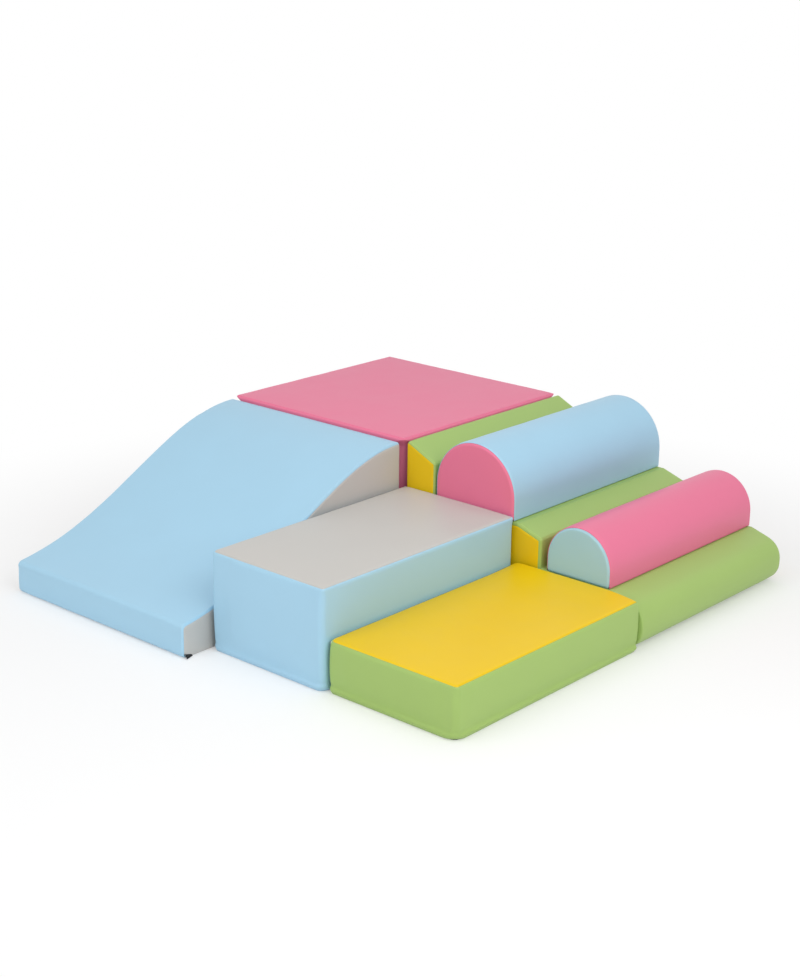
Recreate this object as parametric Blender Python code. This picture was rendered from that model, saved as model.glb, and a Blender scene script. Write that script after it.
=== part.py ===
"""Soft play foam climber: a square platform with a wave slide, a stepped bump ramp and two steps.

Each module is a foam core inside a sewn cover of separate panels, closed by a zip in its base panel,
and fastened to the next module by hook and loop tapes. Metres, +Z up, floor at Z = 0. The slide runs
down towards -Y and the ramp towards +X.
"""

import math

import bmesh
import bpy
from mathutils import Matrix, Vector
from mathutils.geometry import interpolate_bezier

# Platform, the tall square module in the corner
PLATFORM_WIDTH = 0.605
PLATFORM_DEPTH = 0.618
PLATFORM_HEIGHT = 0.356

# Slide: its deck is a wave, flat at the platform and again near the nose
SLIDE_WIDTH = 0.595
SLIDE_LENGTH = 0.718
SLIDE_CORNER_SETBACK = 0.011
SLIDE_CREST_REACH = 0.240
SLIDE_FOOT_REACH = 0.300
SLIDE_NOSE_HEIGHT = 0.078
SLIDE_NOSE_SLOPE = math.radians(7.5)
SLIDE_NOSE_ROUND = 0.013
SLIDE_FOOT_ROUND = 0.010

# Ramp: three sloped stretches of deck with a level tread for a bump after each of the first two
RAMP_WIDTH = 0.611
RAMP_LENGTH = 0.7073
RAMP_CORNER_SETBACK = 0.008
RAMP_TOP_RUN = 0.090
RAMP_TOP_FALL = 0.043
LARGE_TREAD_RUN = 0.259
LARGE_TREAD_HEIGHT = 0.2225
RAMP_MIDDLE_RUN = 0.0695
RAMP_MIDDLE_FALL = 0.0235
SMALL_TREAD_RUN = 0.200
SMALL_TREAD_HEIGHT = 0.126
RAMP_NOSE_FALL = 0.027
RAMP_NOSE_ROUND = 0.050
RAMP_FOOT_ROUND = 0.048
RAMP_EDGE_ROUND = 0.009
TREAD_CORNER_ROUND = 0.003
TREAD_END_ROUND = 0.020

# Bumps: half-round blocks with upright lower sides, one on each tread
LARGE_BUMP_WIDTH = 0.240
LARGE_BUMP_HEIGHT = 0.1675
LARGE_BUMP_GAP = 0.0055
SMALL_BUMP_WIDTH = 0.178
SMALL_BUMP_HEIGHT = 0.126
SMALL_BUMP_GAP = 0.0175

# Steps, one high and one low, beside the ramp
HIGH_STEP_WIDTH = 0.344
HIGH_STEP_LENGTH = 0.6465
HIGH_STEP_HEIGHT = 0.237
HIGH_STEP_OFFSET = 0.0005
LOW_STEP_WIDTH = 0.355
LOW_STEP_LENGTH = 0.636
LOW_STEP_HEIGHT = 0.1215

# How the modules meet
SLIDE_STEP_DOWN = 0.007
RAMP_STEP_DOWN = 0.0005
TAPE_THICKNESS = 0.0014
TAPE_WIDTH = 0.050
TAPE_END_MARGIN = 0.080
TAPE_CORNER_ROUND = 0.004
LOW_TAPE_HEIGHT = 0.056

# Cover: coated fabric panels over the foam
SKIN = 0.0015
GAP = 0.0003
CORNER_ROUND = 0.015
PLATFORM_CORNER_ROUND = 0.058
TOP_CORNER_ROUND = 0.009
TOP_CORNER_HEIGHT = 0.020
FOOT_CORNER_WIDENING = 0.009
PLATFORM_FOOT_WIDENING = -0.015
FOOT_CORNER_HEIGHT = 0.030
SEAM_INSET = 0.003
SEAM_RIM = 0.0006
SHOULDER = 0.007
CROWN = 0.0035
SIDE_BULGE = 0.003
EDGE_ROLL = 0.0045
BACK_LAP = 0.012
FOOT_LAP = 0.003
FOOT_LIFT = 0.002
FOOT_TUCK = 0.008
FOOT_ROUND = 0.020

# Zips, one in the base panel of each module
ZIP_EDGE = 0.026
PLATFORM_ZIP_EDGE = 0.040
ZIP_END_MARGIN = 0.030
ZIP_TAPE_WIDTH = 0.020
ZIP_TAPE_THICKNESS = 0.0006
ZIP_COIL_WIDTH = 0.0058
ZIP_COIL_HEIGHT = 0.0016
ZIP_SLIT = 0.0014
ZIP_STOP = 0.006
ZIP_SLOT_WIDTH = 0.0106
ZIP_GROOVE_WIDTH = 0.022
ZIP_GROOVE_HEIGHT = 0.0070
SLIDER_WIDTH = 0.008
SLIDER_LENGTH = 0.011
SLIDER_PLATE = 0.0010
SLIDER_POST_WIDTH = 0.0008
SLIDER_POST_LENGTH = 0.003
SLIDER_EAR_WIDTH = 0.0012
SLIDER_EAR_LENGTH = 0.0022
PULL_THICKNESS = 0.0009
PULL_LENGTH = 0.020
PULL_HOLE_RADIUS = 0.0014
PULL_HOLE_FROM_TIP = 0.0036
PULL_SHOW = 0.003
OVERRUN = 0.010
WELD = 0.00001

# Counts and shares that give the curved faces their form
CORNER_STEPS = 3
ARC_STEPS = 3
ARCH_STEPS = 8
DECK_STEPS = 12
PULL_STEPS = 6
BULGE_LEVEL_SHARES = (0.25, 0.5, 0.75)
TOP_RING_SHARES = (0.0, 0.05, 0.18, 0.45, 0.75)
CROWN_ACROSS_SHARES = ((0.08, 0.3), (0.25, 0.8), (0.5, 1.0), (0.75, 0.8), (0.92, 0.3))

# Sizes that follow from the values above
FASTENER_GAP = 2 * TAPE_THICKNESS + 3 * GAP
SLIDE_HEIGHT = PLATFORM_HEIGHT - SLIDE_STEP_DOWN
RAMP_HEIGHT = PLATFORM_HEIGHT - RAMP_STEP_DOWN
BASE_TOP = SKIN + GAP
STEP_BACK = RAMP_CORNER_SETBACK - FASTENER_GAP
LOW_STEP_LEFT = HIGH_STEP_OFFSET + HIGH_STEP_WIDTH + FASTENER_GAP
ZIP_TAPE_TOP = BASE_TOP + ZIP_TAPE_THICKNESS
ZIP_COIL_TOP = ZIP_TAPE_TOP + ZIP_COIL_HEIGHT
PULL_MID = SKIN - SLIDER_PLATE / 2
PULL_TIP_ROUND = (SLIDER_WIDTH - 2 * SLIDER_EAR_WIDTH - 2 * GAP) / 2
MODEL_LEFT = -PLATFORM_WIDTH - SIDE_BULGE
MODEL_RIGHT = max(FASTENER_GAP + RAMP_LENGTH, LOW_STEP_LEFT + LOW_STEP_WIDTH + SIDE_BULGE)
MODEL_FRONT = -FASTENER_GAP - SLIDE_LENGTH
MODEL_BACK = PLATFORM_DEPTH + SIDE_BULGE


def clear_scene():
    for item in list(bpy.data.objects):
        bpy.data.objects.remove(item, do_unlink=True)


def linear_colour(hex_colour):
    channels = [int(hex_colour[start : start + 2], 16) / 255 for start in (1, 3, 5)]
    linear = [c / 12.92 if c <= 0.04045 else ((c + 0.055) / 1.055) ** 2.4 for c in channels]
    return (*linear, 1.0)


def make_material(name, hex_colour, roughness, metallic=0.0):
    material = bpy.data.materials.new(name)
    material.use_nodes = True
    shader = material.node_tree.nodes["Principled BSDF"]
    shader.inputs["Base Color"].default_value = linear_colour(hex_colour)
    shader.inputs["Roughness"].default_value = roughness
    shader.inputs["Metallic"].default_value = metallic
    material.diffuse_color = linear_colour(hex_colour)
    return material


def make_materials():
    return {
        "pink": make_material("pink_coated_fabric", "#E38DAA", 0.42),
        "blue": make_material("blue_coated_fabric", "#A9D3EA", 0.42),
        "grey": make_material("grey_coated_fabric", "#CFCBC6", 0.42),
        "green": make_material("green_coated_fabric", "#A6C878", 0.42),
        "yellow": make_material("yellow_coated_fabric", "#EFCB35", 0.42),
        "aqua": make_material("pale_aqua_coated_fabric", "#A8CFD6", 0.42),
        "base": make_material("dark_grip_base_fabric", "#55585C", 0.8),
        "foam": make_material("polyethylene_foam", "#EDEBE4", 0.95),
        "tape": make_material("hook_and_loop_tape", "#2A2A2C", 0.9),
        "zip": make_material("zip_tape_and_coil", "#1B1B1D", 0.7),
        "metal": make_material("black_enamelled_zinc", "#18181A", 0.35, 0.6),
    }


def make_frame(name, place, heading=0.0, parent=None):
    """An empty that carries a module, turned about Z by heading."""
    frame = bpy.data.objects.new(name, None)
    bpy.context.collection.objects.link(frame)
    frame.empty_display_size = CORNER_ROUND
    frame.location = place
    frame.rotation_euler = (0.0, 0.0, heading)
    frame.parent = parent
    return frame


def loft(name, rings, material, parent, closed=False, place=(0, 0, 0)):
    """One closed solid through rings of equal counts, its end rings capped, or welded when closed."""
    mesh = bpy.data.meshes.new(name)
    bm = bmesh.new()
    loop = [bm.verts.new(point) for point in rings[0]]
    edges = [bm.edges.new(pair) for pair in zip(loop, loop[1:] + loop[:1])]
    if not closed:
        bmesh.ops.contextual_create(bm, geom=edges)
    for ring in rings[1:]:
        grown = bmesh.ops.extrude_edge_only(bm, edges=edges)["geom"]
        fresh = {item for item in grown if isinstance(item, bmesh.types.BMVert)}
        loop = [
            next(edge.other_vert(vert) for edge in vert.link_edges if edge.other_vert(vert) in fresh)
            for vert in loop
        ]
        for vert, point in zip(loop, ring):
            vert.co = point
        edges = [bm.edges.get(pair) for pair in zip(loop, loop[1:] + loop[:1])]
    if closed:
        bmesh.ops.remove_doubles(bm, verts=bm.verts, dist=WELD)
    else:
        bmesh.ops.contextual_create(bm, geom=edges)
    bmesh.ops.recalc_face_normals(bm, faces=bm.faces)
    bm.to_mesh(mesh)
    bm.free()
    mesh.shade_smooth()
    mesh.set_sharp_from_angle(angle=math.radians(35))
    item = bpy.data.objects.new(name, mesh)
    bpy.context.collection.objects.link(item)
    item.parent = parent
    item.location = place
    if material:
        mesh.materials.append(material)
    return item


def rounded_ring(left, right, front, back, radius, height):
    """Points round a rectangle with rounded corners, level at height."""
    centres = (
        (right - radius, back - radius),
        (left + radius, back - radius),
        (left + radius, front + radius),
        (right - radius, front + radius),
    )
    ring = []
    for quarter, (x, y) in enumerate(centres):
        for step in range(CORNER_STEPS + 1):
            angle = (quarter + step / CORNER_STEPS) * math.pi / 2
            ring.append((x + radius * math.cos(angle), y + radius * math.sin(angle), height))
    return ring


def square_ring(left, right, front, back, height):
    return [(right, back, height), (left, back, height), (left, front, height), (right, front, height)]


def cut_away(target, name, left, right, front, back, low, high, parent):
    """Cuts a box out of the target, given in its parent frame."""
    rings = [square_ring(left, right, front, back, low), square_ring(left, right, front, back, high)]
    cutter = loft(name, rings, None, parent)
    cutter.hide_render = True
    cutter.display_type = "WIRE"
    cut = target.modifiers.new(name, "BOOLEAN")
    cut.operation = "DIFFERENCE"
    cut.object = cutter


# Block modules: the platform and the two steps


def wall_levels(height):
    """Up a side wall from its turned-in foot to its seam: (height, inset, bulge share), with a row where
    the upright corners begin to change towards the foot and the seam."""
    levels = []
    for step in range(ARC_STEPS + 1):
        angle = step / ARC_STEPS * math.pi / 2
        rise = (FOOT_ROUND - FOOT_LIFT) * (1 - math.cos(angle))
        levels.append((FOOT_LIFT + rise, FOOT_TUCK * (1 - math.sin(angle)), 0.0))
    flat = height - SHOULDER - FOOT_ROUND
    corner_shares = (
        (FOOT_LIFT + FOOT_CORNER_HEIGHT - FOOT_ROUND) / flat,
        (height - TOP_CORNER_HEIGHT - FOOT_ROUND) / flat,
    )
    for share in sorted(BULGE_LEVEL_SHARES + corner_shares):
        levels.append((FOOT_ROUND + share * flat, 0.0, 4 * share * (1 - share)))
    for step in range(ARC_STEPS + 1):
        angle = step / ARC_STEPS * math.pi / 2
        rise = (SHOULDER - SKIN - GAP) * math.sin(angle)
        levels.append((height - SHOULDER + rise, SEAM_INSET * (1 - math.cos(angle)), 0.0))
    return levels


class Block:
    """The outer size of a block module, its upright corners and the sides that stand free and so bulge."""

    def __init__(self, width, length, height, corner, foot_widening, free_sides):
        self.width = width
        self.length = length
        self.height = height
        self.corner = corner
        self.foot_widening = foot_widening
        self.free_sides = free_sides

    def corner_round(self, level):
        """The radius of the upright corners: changed where the foot turns in, tight at the top seam."""
        foot_share = min(max(1 - (level - FOOT_LIFT) / FOOT_CORNER_HEIGHT, 0.0), 1.0) ** 2
        top_share = min(max(1 - (self.height - level) / TOP_CORNER_HEIGHT, 0.0), 1.0)
        widened = self.foot_widening * foot_share
        tightened = (self.corner - TOP_CORNER_ROUND) * top_share
        return self.corner + widened - tightened

    def ring(self, inset, level, bulge=0.0):
        left, right, front, back = (bulge if side in self.free_sides else 0.0 for side in "lrfb")
        return rounded_ring(
            inset - left,
            self.width - inset + right,
            inset - front,
            self.length - inset + back,
            max(self.corner_round(level) - inset, GAP),
            level,
        )

    def wall_rings(self, depth):
        return [
            self.ring(inset + depth, level, bulge * SIDE_BULGE)
            for level, inset, bulge in wall_levels(self.height)
        ]

    def top_rings(self, depth, first=0):
        """Rings over the crowned top from its edge towards its middle, at a depth below the surface."""
        reach = min(self.width, self.length) / 2 - SEAM_INSET
        rings = []
        for share in TOP_RING_SHARES[first:]:
            lift = CROWN * (1 - (1 - share) ** 3)
            rings.append(self.ring(SEAM_INSET - SEAM_RIM + share * reach, self.height + lift - depth))
        return rings


def make_block(name, block, colours, frame, materials):
    core_rings = [block.ring(FOOT_TUCK + SKIN + GAP, BASE_TOP)]
    core_rings += block.wall_rings(SKIN + GAP)
    core_rings += block.top_rings(SKIN + GAP, first=2)
    core = loft(name + "_foam_core", core_rings, materials["foam"], frame)
    under = block.top_rings(SKIN)
    over = block.top_rings(0.0)
    loft(name + "_top_panel", under[::-1] + over, materials[colours["top"]], frame)
    outer = block.wall_rings(0.0)
    inner = block.wall_rings(SKIN)
    band = outer + inner[::-1] + outer[:1]
    loft(name + "_side_band", band, materials[colours["side"]], frame, closed=True)
    base_rings = [block.ring(FOOT_TUCK, 0.0), block.ring(FOOT_TUCK, SKIN)]
    base = loft(name + "_base_panel", base_rings, materials["base"], frame)
    return core, base


# Modules with a curved deck: the slide, the ramp and the bumps


def rounded_path(corners, steps=ARC_STEPS):
    """Points with outward normals along runs joined by arcs. Corners are (run, height, radius)."""
    spots = [Vector(corner[:2]) for corner in corners]
    ways = [(after - before).normalized() for before, after in zip(spots, spots[1:])]
    lengths = [(after - before).length for before, after in zip(spots, spots[1:])]
    outs = [Vector((-way.y, way.x)) for way in ways]
    path = [(spots[0], outs[0])]
    for index in range(1, len(spots) - 1):
        before = outs[index - 1]
        after = outs[index]
        turn = before.angle_signed(after)
        half = math.tan(abs(turn) / 2)
        room_before = lengths[index - 1] / (1 if index == 1 else 2)
        room_after = lengths[index] / (1 if index == len(spots) - 2 else 2)
        room = min(room_before, room_after)
        radius = min(corners[index][2], room / half) if half > 0 else 0.0
        if radius == 0.0:
            path.append((spots[index], (before + after).normalized() / math.cos(turn / 2)))
            continue
        side = 1 if turn > 0 else -1
        start = spots[index] - ways[index - 1] * radius * half
        centre = start - before * radius * side
        for step in range(steps + 1):
            out = Matrix.Rotation(-turn * step / steps, 2) @ before
            spot = centre + out * radius * side
            if (spot - path[-1][0]).length > WELD:
                path.append((spot, out))
    path.append((spots[-1], outs[-1]))
    return path


def deck_section(width, depth, crown):
    """Across a deck: (across, lift share of the crown or None, lift) with both edges rolled down."""
    radius = EDGE_ROLL - depth
    rolled = []
    for step in range(ARC_STEPS + 1):
        angle = step / ARC_STEPS * math.pi / 2
        across = EDGE_ROLL - radius * math.cos(angle)
        rolled.append((across, 0.0, radius * math.sin(angle) - EDGE_ROLL))
    middle = [(share * width, lift * crown, -depth) for share, lift in CROWN_ACROSS_SHARES] if crown else []
    return rolled + middle + [(width - across, swell, lift) for across, swell, lift in rolled[::-1]]


def path_points(path, across, swell, lift):
    """The path lifted along its normals, at one place across the deck. Only faces that look up swell."""
    reach = max(spot.x for spot, out in path)
    points = []
    for spot, out in path:
        swell_share = max(math.sin(math.pi * spot.x / reach), 0.0) ** 0.5 * max(out.y, 0.0)
        raised = spot + out * (lift + swell * swell_share)
        points.append((raised.x, across, raised.y))
    return points


def make_deck(name, path, width, crown, material, frame):
    """A skin along the path, one ring round its thickness at each station."""
    outer = [path_points(path, *place) for place in deck_section(width, 0.0, crown)]
    inner = [path_points(path, *place) for place in deck_section(width, SKIN, crown)]
    lines = outer + inner[::-1]
    rings = [[line[station] for line in lines] for station in range(len(path))]
    return loft(name, rings, material, frame)


def wedge_outline(path, across, swell, lift, back, bottom):
    """The closed side outline of a wedge: the lifted deck, then down its foot and up its back."""
    points = path_points(path, across, swell, lift)
    foot_run = path[-1][0].x - GAP
    points[-1] = (foot_run, across, points[-1][2])
    back_top = path[0][0].y - GAP
    closing = [(foot_run, across, bottom), (back, across, bottom), (back, across, back_top)]
    return points + closing


def make_wedge(name, path, width, crown, colours, frame, materials):
    """A core, a deck, two side panels and a base panel that turns up the back."""
    depth = SKIN + GAP
    core_rings = [
        wedge_outline(path, across, swell, lift, depth, BASE_TOP)
        for across, swell, lift in deck_section(width, depth, crown)
    ]
    core = loft(name + "_foam_core", core_rings, materials["foam"], frame)
    make_deck(name + "_deck_panel", path, width, crown, materials[colours["deck"]], frame)
    for side, start in zip(colours["side_names"], (0.0, width - SKIN)):
        rings = [
            wedge_outline(path, across, 0.0, -EDGE_ROLL - GAP, 0.0, FOOT_LIFT)
            for across in (start, start + SKIN)
        ]
        loft(name + "_" + side + "_side_panel", rings, materials[colours["side"]], frame)
    base_run = path[-1][0].x + FOOT_LAP
    base_rise = path[0][0].y - GAP
    base_side = [
        (base_run, 0.0),
        (base_run, SKIN),
        (SKIN, SKIN),
        (SKIN, base_rise),
        (0.0, base_rise),
        (0.0, 0.0),
    ]
    base_rings = [
        [(run, across, height) for run, height in base_side] for across in (depth, width - depth)
    ]
    base = loft(name + "_base_panel", base_rings, materials["base"], frame)
    return core, base


def slide_path():
    """The slide's deck from the lap at its back, over the wave and round the nose to the foot."""
    nose_drop = SLIDE_FOOT_REACH * math.tan(SLIDE_NOSE_SLOPE)
    crest = Vector((0.0, SLIDE_HEIGHT, 0.0))
    crest_handle = Vector((SLIDE_CREST_REACH, SLIDE_HEIGHT, 0.0))
    nose = Vector((SLIDE_LENGTH, SLIDE_NOSE_HEIGHT, 0.0))
    nose_handle = Vector((SLIDE_LENGTH - SLIDE_FOOT_REACH, SLIDE_NOSE_HEIGHT + nose_drop, 0.0))
    wave = interpolate_bezier(crest, crest_handle, nose_handle, nose, DECK_STEPS + 1)
    corners = [(0.0, SLIDE_HEIGHT - BACK_LAP, 0.0), (0.0, SLIDE_HEIGHT, EDGE_ROLL + SKIN)]
    corners += [(point.x, point.y, 0.0) for point in wave[1:-1]]
    corners += [
        (SLIDE_LENGTH, SLIDE_NOSE_HEIGHT, SLIDE_NOSE_ROUND),
        (SLIDE_LENGTH, FOOT_LIFT, SLIDE_FOOT_ROUND),
        (SLIDE_LENGTH - SLIDE_FOOT_ROUND - FOOT_LAP, FOOT_LIFT, 0.0),
    ]
    return rounded_path(corners)


def ramp_path():
    """The ramp's deck: slope, wall, tread, slope, wall, tread, slope and nose."""
    large_wall = RAMP_TOP_RUN
    large_end = large_wall + LARGE_TREAD_RUN
    small_wall = large_end + RAMP_MIDDLE_RUN
    small_end = small_wall + SMALL_TREAD_RUN
    corners = [
        (0.0, RAMP_HEIGHT - BACK_LAP, 0.0),
        (0.0, RAMP_HEIGHT, EDGE_ROLL + SKIN),
        (large_wall, RAMP_HEIGHT - RAMP_TOP_FALL, RAMP_EDGE_ROUND),
        (large_wall, LARGE_TREAD_HEIGHT, TREAD_CORNER_ROUND),
        (large_end, LARGE_TREAD_HEIGHT, TREAD_END_ROUND),
        (small_wall, LARGE_TREAD_HEIGHT - RAMP_MIDDLE_FALL, RAMP_EDGE_ROUND),
        (small_wall, SMALL_TREAD_HEIGHT, TREAD_CORNER_ROUND),
        (small_end, SMALL_TREAD_HEIGHT, TREAD_END_ROUND),
        (RAMP_LENGTH, SMALL_TREAD_HEIGHT - RAMP_NOSE_FALL, RAMP_NOSE_ROUND),
        (RAMP_LENGTH, FOOT_LIFT, RAMP_FOOT_ROUND),
        (RAMP_LENGTH - RAMP_FOOT_ROUND - FOOT_LAP, FOOT_LIFT, 0.0),
    ]
    return rounded_path(corners)


def make_bump(name, width, height, length, colours, frame, materials):
    """A half-round bump: a cover bent over the foam, two end panels and a base panel inside its hem."""
    hem = GAP
    arch_corners = [
        (0.0, hem, 0.0),
        (0.0, height, width / 2),
        (width, height, width / 2),
        (width, hem, 0.0),
    ]
    arch = rounded_path(arch_corners, ARCH_STEPS)
    depth = SKIN + GAP
    make_deck(name + "_round_cover", arch, length, 0.0, materials[colours["cover"]], frame)
    base_low = FASTENER_GAP
    core_rings = []
    for across, swell, lift in deck_section(length, depth, 0.0):
        points = path_points(arch, across, swell, lift)
        first, last = points[0], points[-1]
        points[0] = (first[0], across, base_low + depth)
        points[-1] = (last[0], across, base_low + depth)
        core_rings.append(points)
    loft(name + "_foam_core", core_rings, materials["foam"], frame)
    for side, start in (("near", 0.0), ("far", length - SKIN)):
        rings = [path_points(arch, across, 0.0, -EDGE_ROLL - GAP) for across in (start, start + SKIN)]
        loft(name + "_" + side + "_end_panel", rings, materials[colours["end"]], frame)
    base_rings = [
        square_ring(depth, width - depth, EDGE_ROLL, length - EDGE_ROLL, level)
        for level in (base_low, base_low + SKIN)
    ]
    loft(name + "_base_panel", base_rings, materials["base"], frame)


# Fasteners


def make_tape(name, length, width, frame, place, heading, upright, materials):
    """A flat strip of hook or loop tape, lying level or standing on its long edge."""
    half_length = length / 2
    half_width = width / 2
    rings = [
        rounded_ring(-half_length, half_length, -half_width, half_width, TAPE_CORNER_ROUND, level)
        for level in (0.0, TAPE_THICKNESS)
    ]
    tape = loft(name, rings, materials["tape"], frame, place=place)
    tape.rotation_euler = (math.pi / 2 if upright else 0.0, 0.0, heading)
    return tape


def make_zip(name, length, place, heading, core, base, frame, materials):
    """A zip behind a slot in the base panel, closed end towards the heading, with its slider and pull."""
    zip_frame = make_frame(name + "_zip_frame", place, heading, frame)
    half = length / 2
    tape_half = ZIP_TAPE_WIDTH / 2
    coil_half = ZIP_COIL_WIDTH / 2
    coil_end = half - ZIP_STOP / 2
    chain_rings = [
        square_ring(-half, half, -tape_half, tape_half, BASE_TOP),
        square_ring(-half, half, -tape_half, tape_half, ZIP_TAPE_TOP),
        square_ring(-coil_end, coil_end, -coil_half, coil_half, ZIP_TAPE_TOP),
        square_ring(-coil_end, coil_end, -coil_half, coil_half, ZIP_COIL_TOP),
    ]
    chain = loft(name + "_zip", chain_rings, materials["zip"], zip_frame)
    slit_end = half - ZIP_STOP
    slit_half = ZIP_SLIT / 2
    cut_away(
        chain, name + "_slit_cutter", -slit_end, slit_end, -slit_half, slit_half, 0.0, OVERRUN, zip_frame
    )
    slot_end = half + PULL_LENGTH + SLIDER_EAR_LENGTH + SLIDER_LENGTH / 2
    slot_half = ZIP_SLOT_WIDTH / 2
    cut_away(
        base, name + "_slot_cutter", -half, slot_end, -slot_half, slot_half, -OVERRUN, BASE_TOP, zip_frame
    )
    groove_half = ZIP_GROOVE_WIDTH / 2
    cut_away(
        core,
        name + "_groove_cutter",
        -half - GAP,
        slot_end,
        -groove_half,
        groove_half,
        -OVERRUN,
        ZIP_GROOVE_HEIGHT,
        zip_frame,
    )
    slider_run = slit_end - SLIDER_POST_LENGTH / 2 - GAP
    make_slider(name, slider_run, zip_frame, materials)
    make_pull(name, slider_run + SLIDER_LENGTH / 2 + SLIDER_EAR_LENGTH / 2, zip_frame, materials)


def make_slider(name, run, zip_frame, materials):
    """An H-section slider: outer plate with two ears, a post through the slit and an inner plate."""
    half_width = SLIDER_WIDTH / 2
    half_length = SLIDER_LENGTH / 2
    ear_end = half_length + SLIDER_EAR_LENGTH
    post_half = SLIDER_POST_LENGTH / 2
    post_side = SLIDER_POST_WIDTH / 2
    low = SKIN - SLIDER_PLATE
    inner_low = ZIP_COIL_TOP + GAP
    rings = [
        square_ring(-half_length, ear_end, -half_width, half_width, low),
        square_ring(-half_length, ear_end, -half_width, half_width, SKIN),
        square_ring(-post_half, post_half, -post_side, post_side, SKIN),
        square_ring(-post_half, post_half, -post_side, post_side, inner_low),
        square_ring(-half_length, half_length, -half_width, half_width, inner_low),
        square_ring(-half_length, half_length, -half_width, half_width, inner_low + SLIDER_PLATE),
    ]
    slider = loft(name + "_zip_slider", rings, materials["metal"], zip_frame, place=(run, 0, 0))
    slider_frame = make_frame(name + "_slider_frame", (run, 0, 0), 0.0, zip_frame)
    notch_half = half_width - SLIDER_EAR_WIDTH
    cut_away(
        slider,
        name + "_ear_cutter",
        half_length,
        ear_end + OVERRUN,
        -notch_half,
        notch_half,
        0.0,
        ZIP_TAPE_TOP,
        slider_frame,
    )


def make_pull(name, run, zip_frame, materials):
    """A flat pull whose rounded root turns between the slider's ears, with a round tip and a hole."""
    radius = PULL_THICKNESS / 2
    half_width = PULL_TIP_ROUND
    rings = []
    for step in range(PULL_STEPS + 1):
        angle = step / PULL_STEPS * math.pi
        across = -half_width * math.cos(angle)
        reach = PULL_LENGTH - radius - half_width + half_width * math.sin(angle)
        ring = []
        for turn in range(PULL_STEPS + 1):
            bend = math.pi / 2 + turn / PULL_STEPS * math.pi
            ring.append((radius * math.cos(bend), across, radius * math.sin(bend)))
        ring += [(reach, across, -radius), (reach, across, radius)]
        rings.append(ring)
    pull = loft(name + "_zip_pull", rings, materials["metal"], zip_frame, place=(run, 0, PULL_MID))
    hole_run = PULL_LENGTH - PULL_HOLE_FROM_TIP
    pull_frame = make_frame(name + "_pull_frame", (run, 0, PULL_MID), 0.0, zip_frame)
    cutter = loft(
        name + "_pull_hole_cutter",
        [
            rounded_ring(
                hole_run - PULL_HOLE_RADIUS,
                hole_run + PULL_HOLE_RADIUS,
                -PULL_HOLE_RADIUS,
                PULL_HOLE_RADIUS,
                PULL_HOLE_RADIUS - WELD,
                level,
            )
            for level in (-OVERRUN, OVERRUN)
        ],
        None,
        pull_frame,
    )
    cutter.hide_render = True
    cutter.display_type = "WIRE"
    cut = pull.modifiers.new("pull_hole", "BOOLEAN")
    cut.operation = "DIFFERENCE"
    cut.object = cutter


# Assembly


def make_platform(root, materials):
    frame = make_frame("platform", (-PLATFORM_WIDTH, 0.0, 0.0), 0.0, root)
    corner = (PLATFORM_CORNER_ROUND, PLATFORM_FOOT_WIDENING)
    block = Block(PLATFORM_WIDTH, PLATFORM_DEPTH, PLATFORM_HEIGHT, *corner, "lb")
    colours = {"top": "pink", "side": "pink"}
    core, base = make_block("platform", block, colours, frame, materials)
    zip_length = PLATFORM_WIDTH - 2 * (FOOT_TUCK + ZIP_END_MARGIN)
    place = (PLATFORM_WIDTH / 2, PLATFORM_DEPTH - FOOT_TUCK - PLATFORM_ZIP_EDGE, 0.0)
    make_zip("platform", zip_length, place, math.pi, core, base, frame, materials)
    return frame


def make_slide(root, materials):
    frame = make_frame(
        "slide", (-SLIDE_CORNER_SETBACK - SLIDE_WIDTH, -FASTENER_GAP, 0.0), -math.pi / 2, root
    )
    colours = {"deck": "blue", "side": "grey", "side_names": ("left", "right")}
    core, base = make_wedge("slide", slide_path(), SLIDE_WIDTH, CROWN, colours, frame, materials)
    half_slider = SLIDER_LENGTH / 2 + SLIDER_EAR_LENGTH / 2
    closed_end = SLIDE_WIDTH + PULL_SHOW - PULL_LENGTH - half_slider + SLIDER_POST_LENGTH / 2 + GAP + ZIP_STOP
    open_end = SKIN + GAP + ZIP_END_MARGIN
    place = (SLIDE_LENGTH - ZIP_EDGE, (closed_end + open_end) / 2, 0.0)
    make_zip("slide", closed_end - open_end, place, math.pi / 2, core, base, frame, materials)
    return frame


def make_ramp(root, materials):
    frame = make_frame("ramp", (FASTENER_GAP, RAMP_CORNER_SETBACK, 0.0), 0.0, root)
    colours = {"deck": "green", "side": "yellow", "side_names": ("near", "far")}
    core, base = make_wedge("ramp", ramp_path(), RAMP_WIDTH, 0.0, colours, frame, materials)
    zip_length = RAMP_WIDTH - 2 * (SKIN + GAP + ZIP_END_MARGIN)
    place = (RAMP_LENGTH - RAMP_FOOT_ROUND - ZIP_EDGE, RAMP_WIDTH / 2, 0.0)
    make_zip("ramp", zip_length, place, math.pi / 2, core, base, frame, materials)
    return frame


def make_step(name, width, length, height, left, free_sides, colours, root, materials):
    frame = make_frame(name, (left, STEP_BACK - length, 0.0), 0.0, root)
    block = Block(width, length, height, CORNER_ROUND, FOOT_CORNER_WIDENING, free_sides)
    core, base = make_block(name, block, colours, frame, materials)
    zip_length = length - 2 * (FOOT_TUCK + ZIP_END_MARGIN)
    place = (FOOT_TUCK + ZIP_EDGE, length / 2, 0.0)
    make_zip(name, zip_length, place, math.pi / 2, core, base, frame, materials)
    return frame


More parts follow.
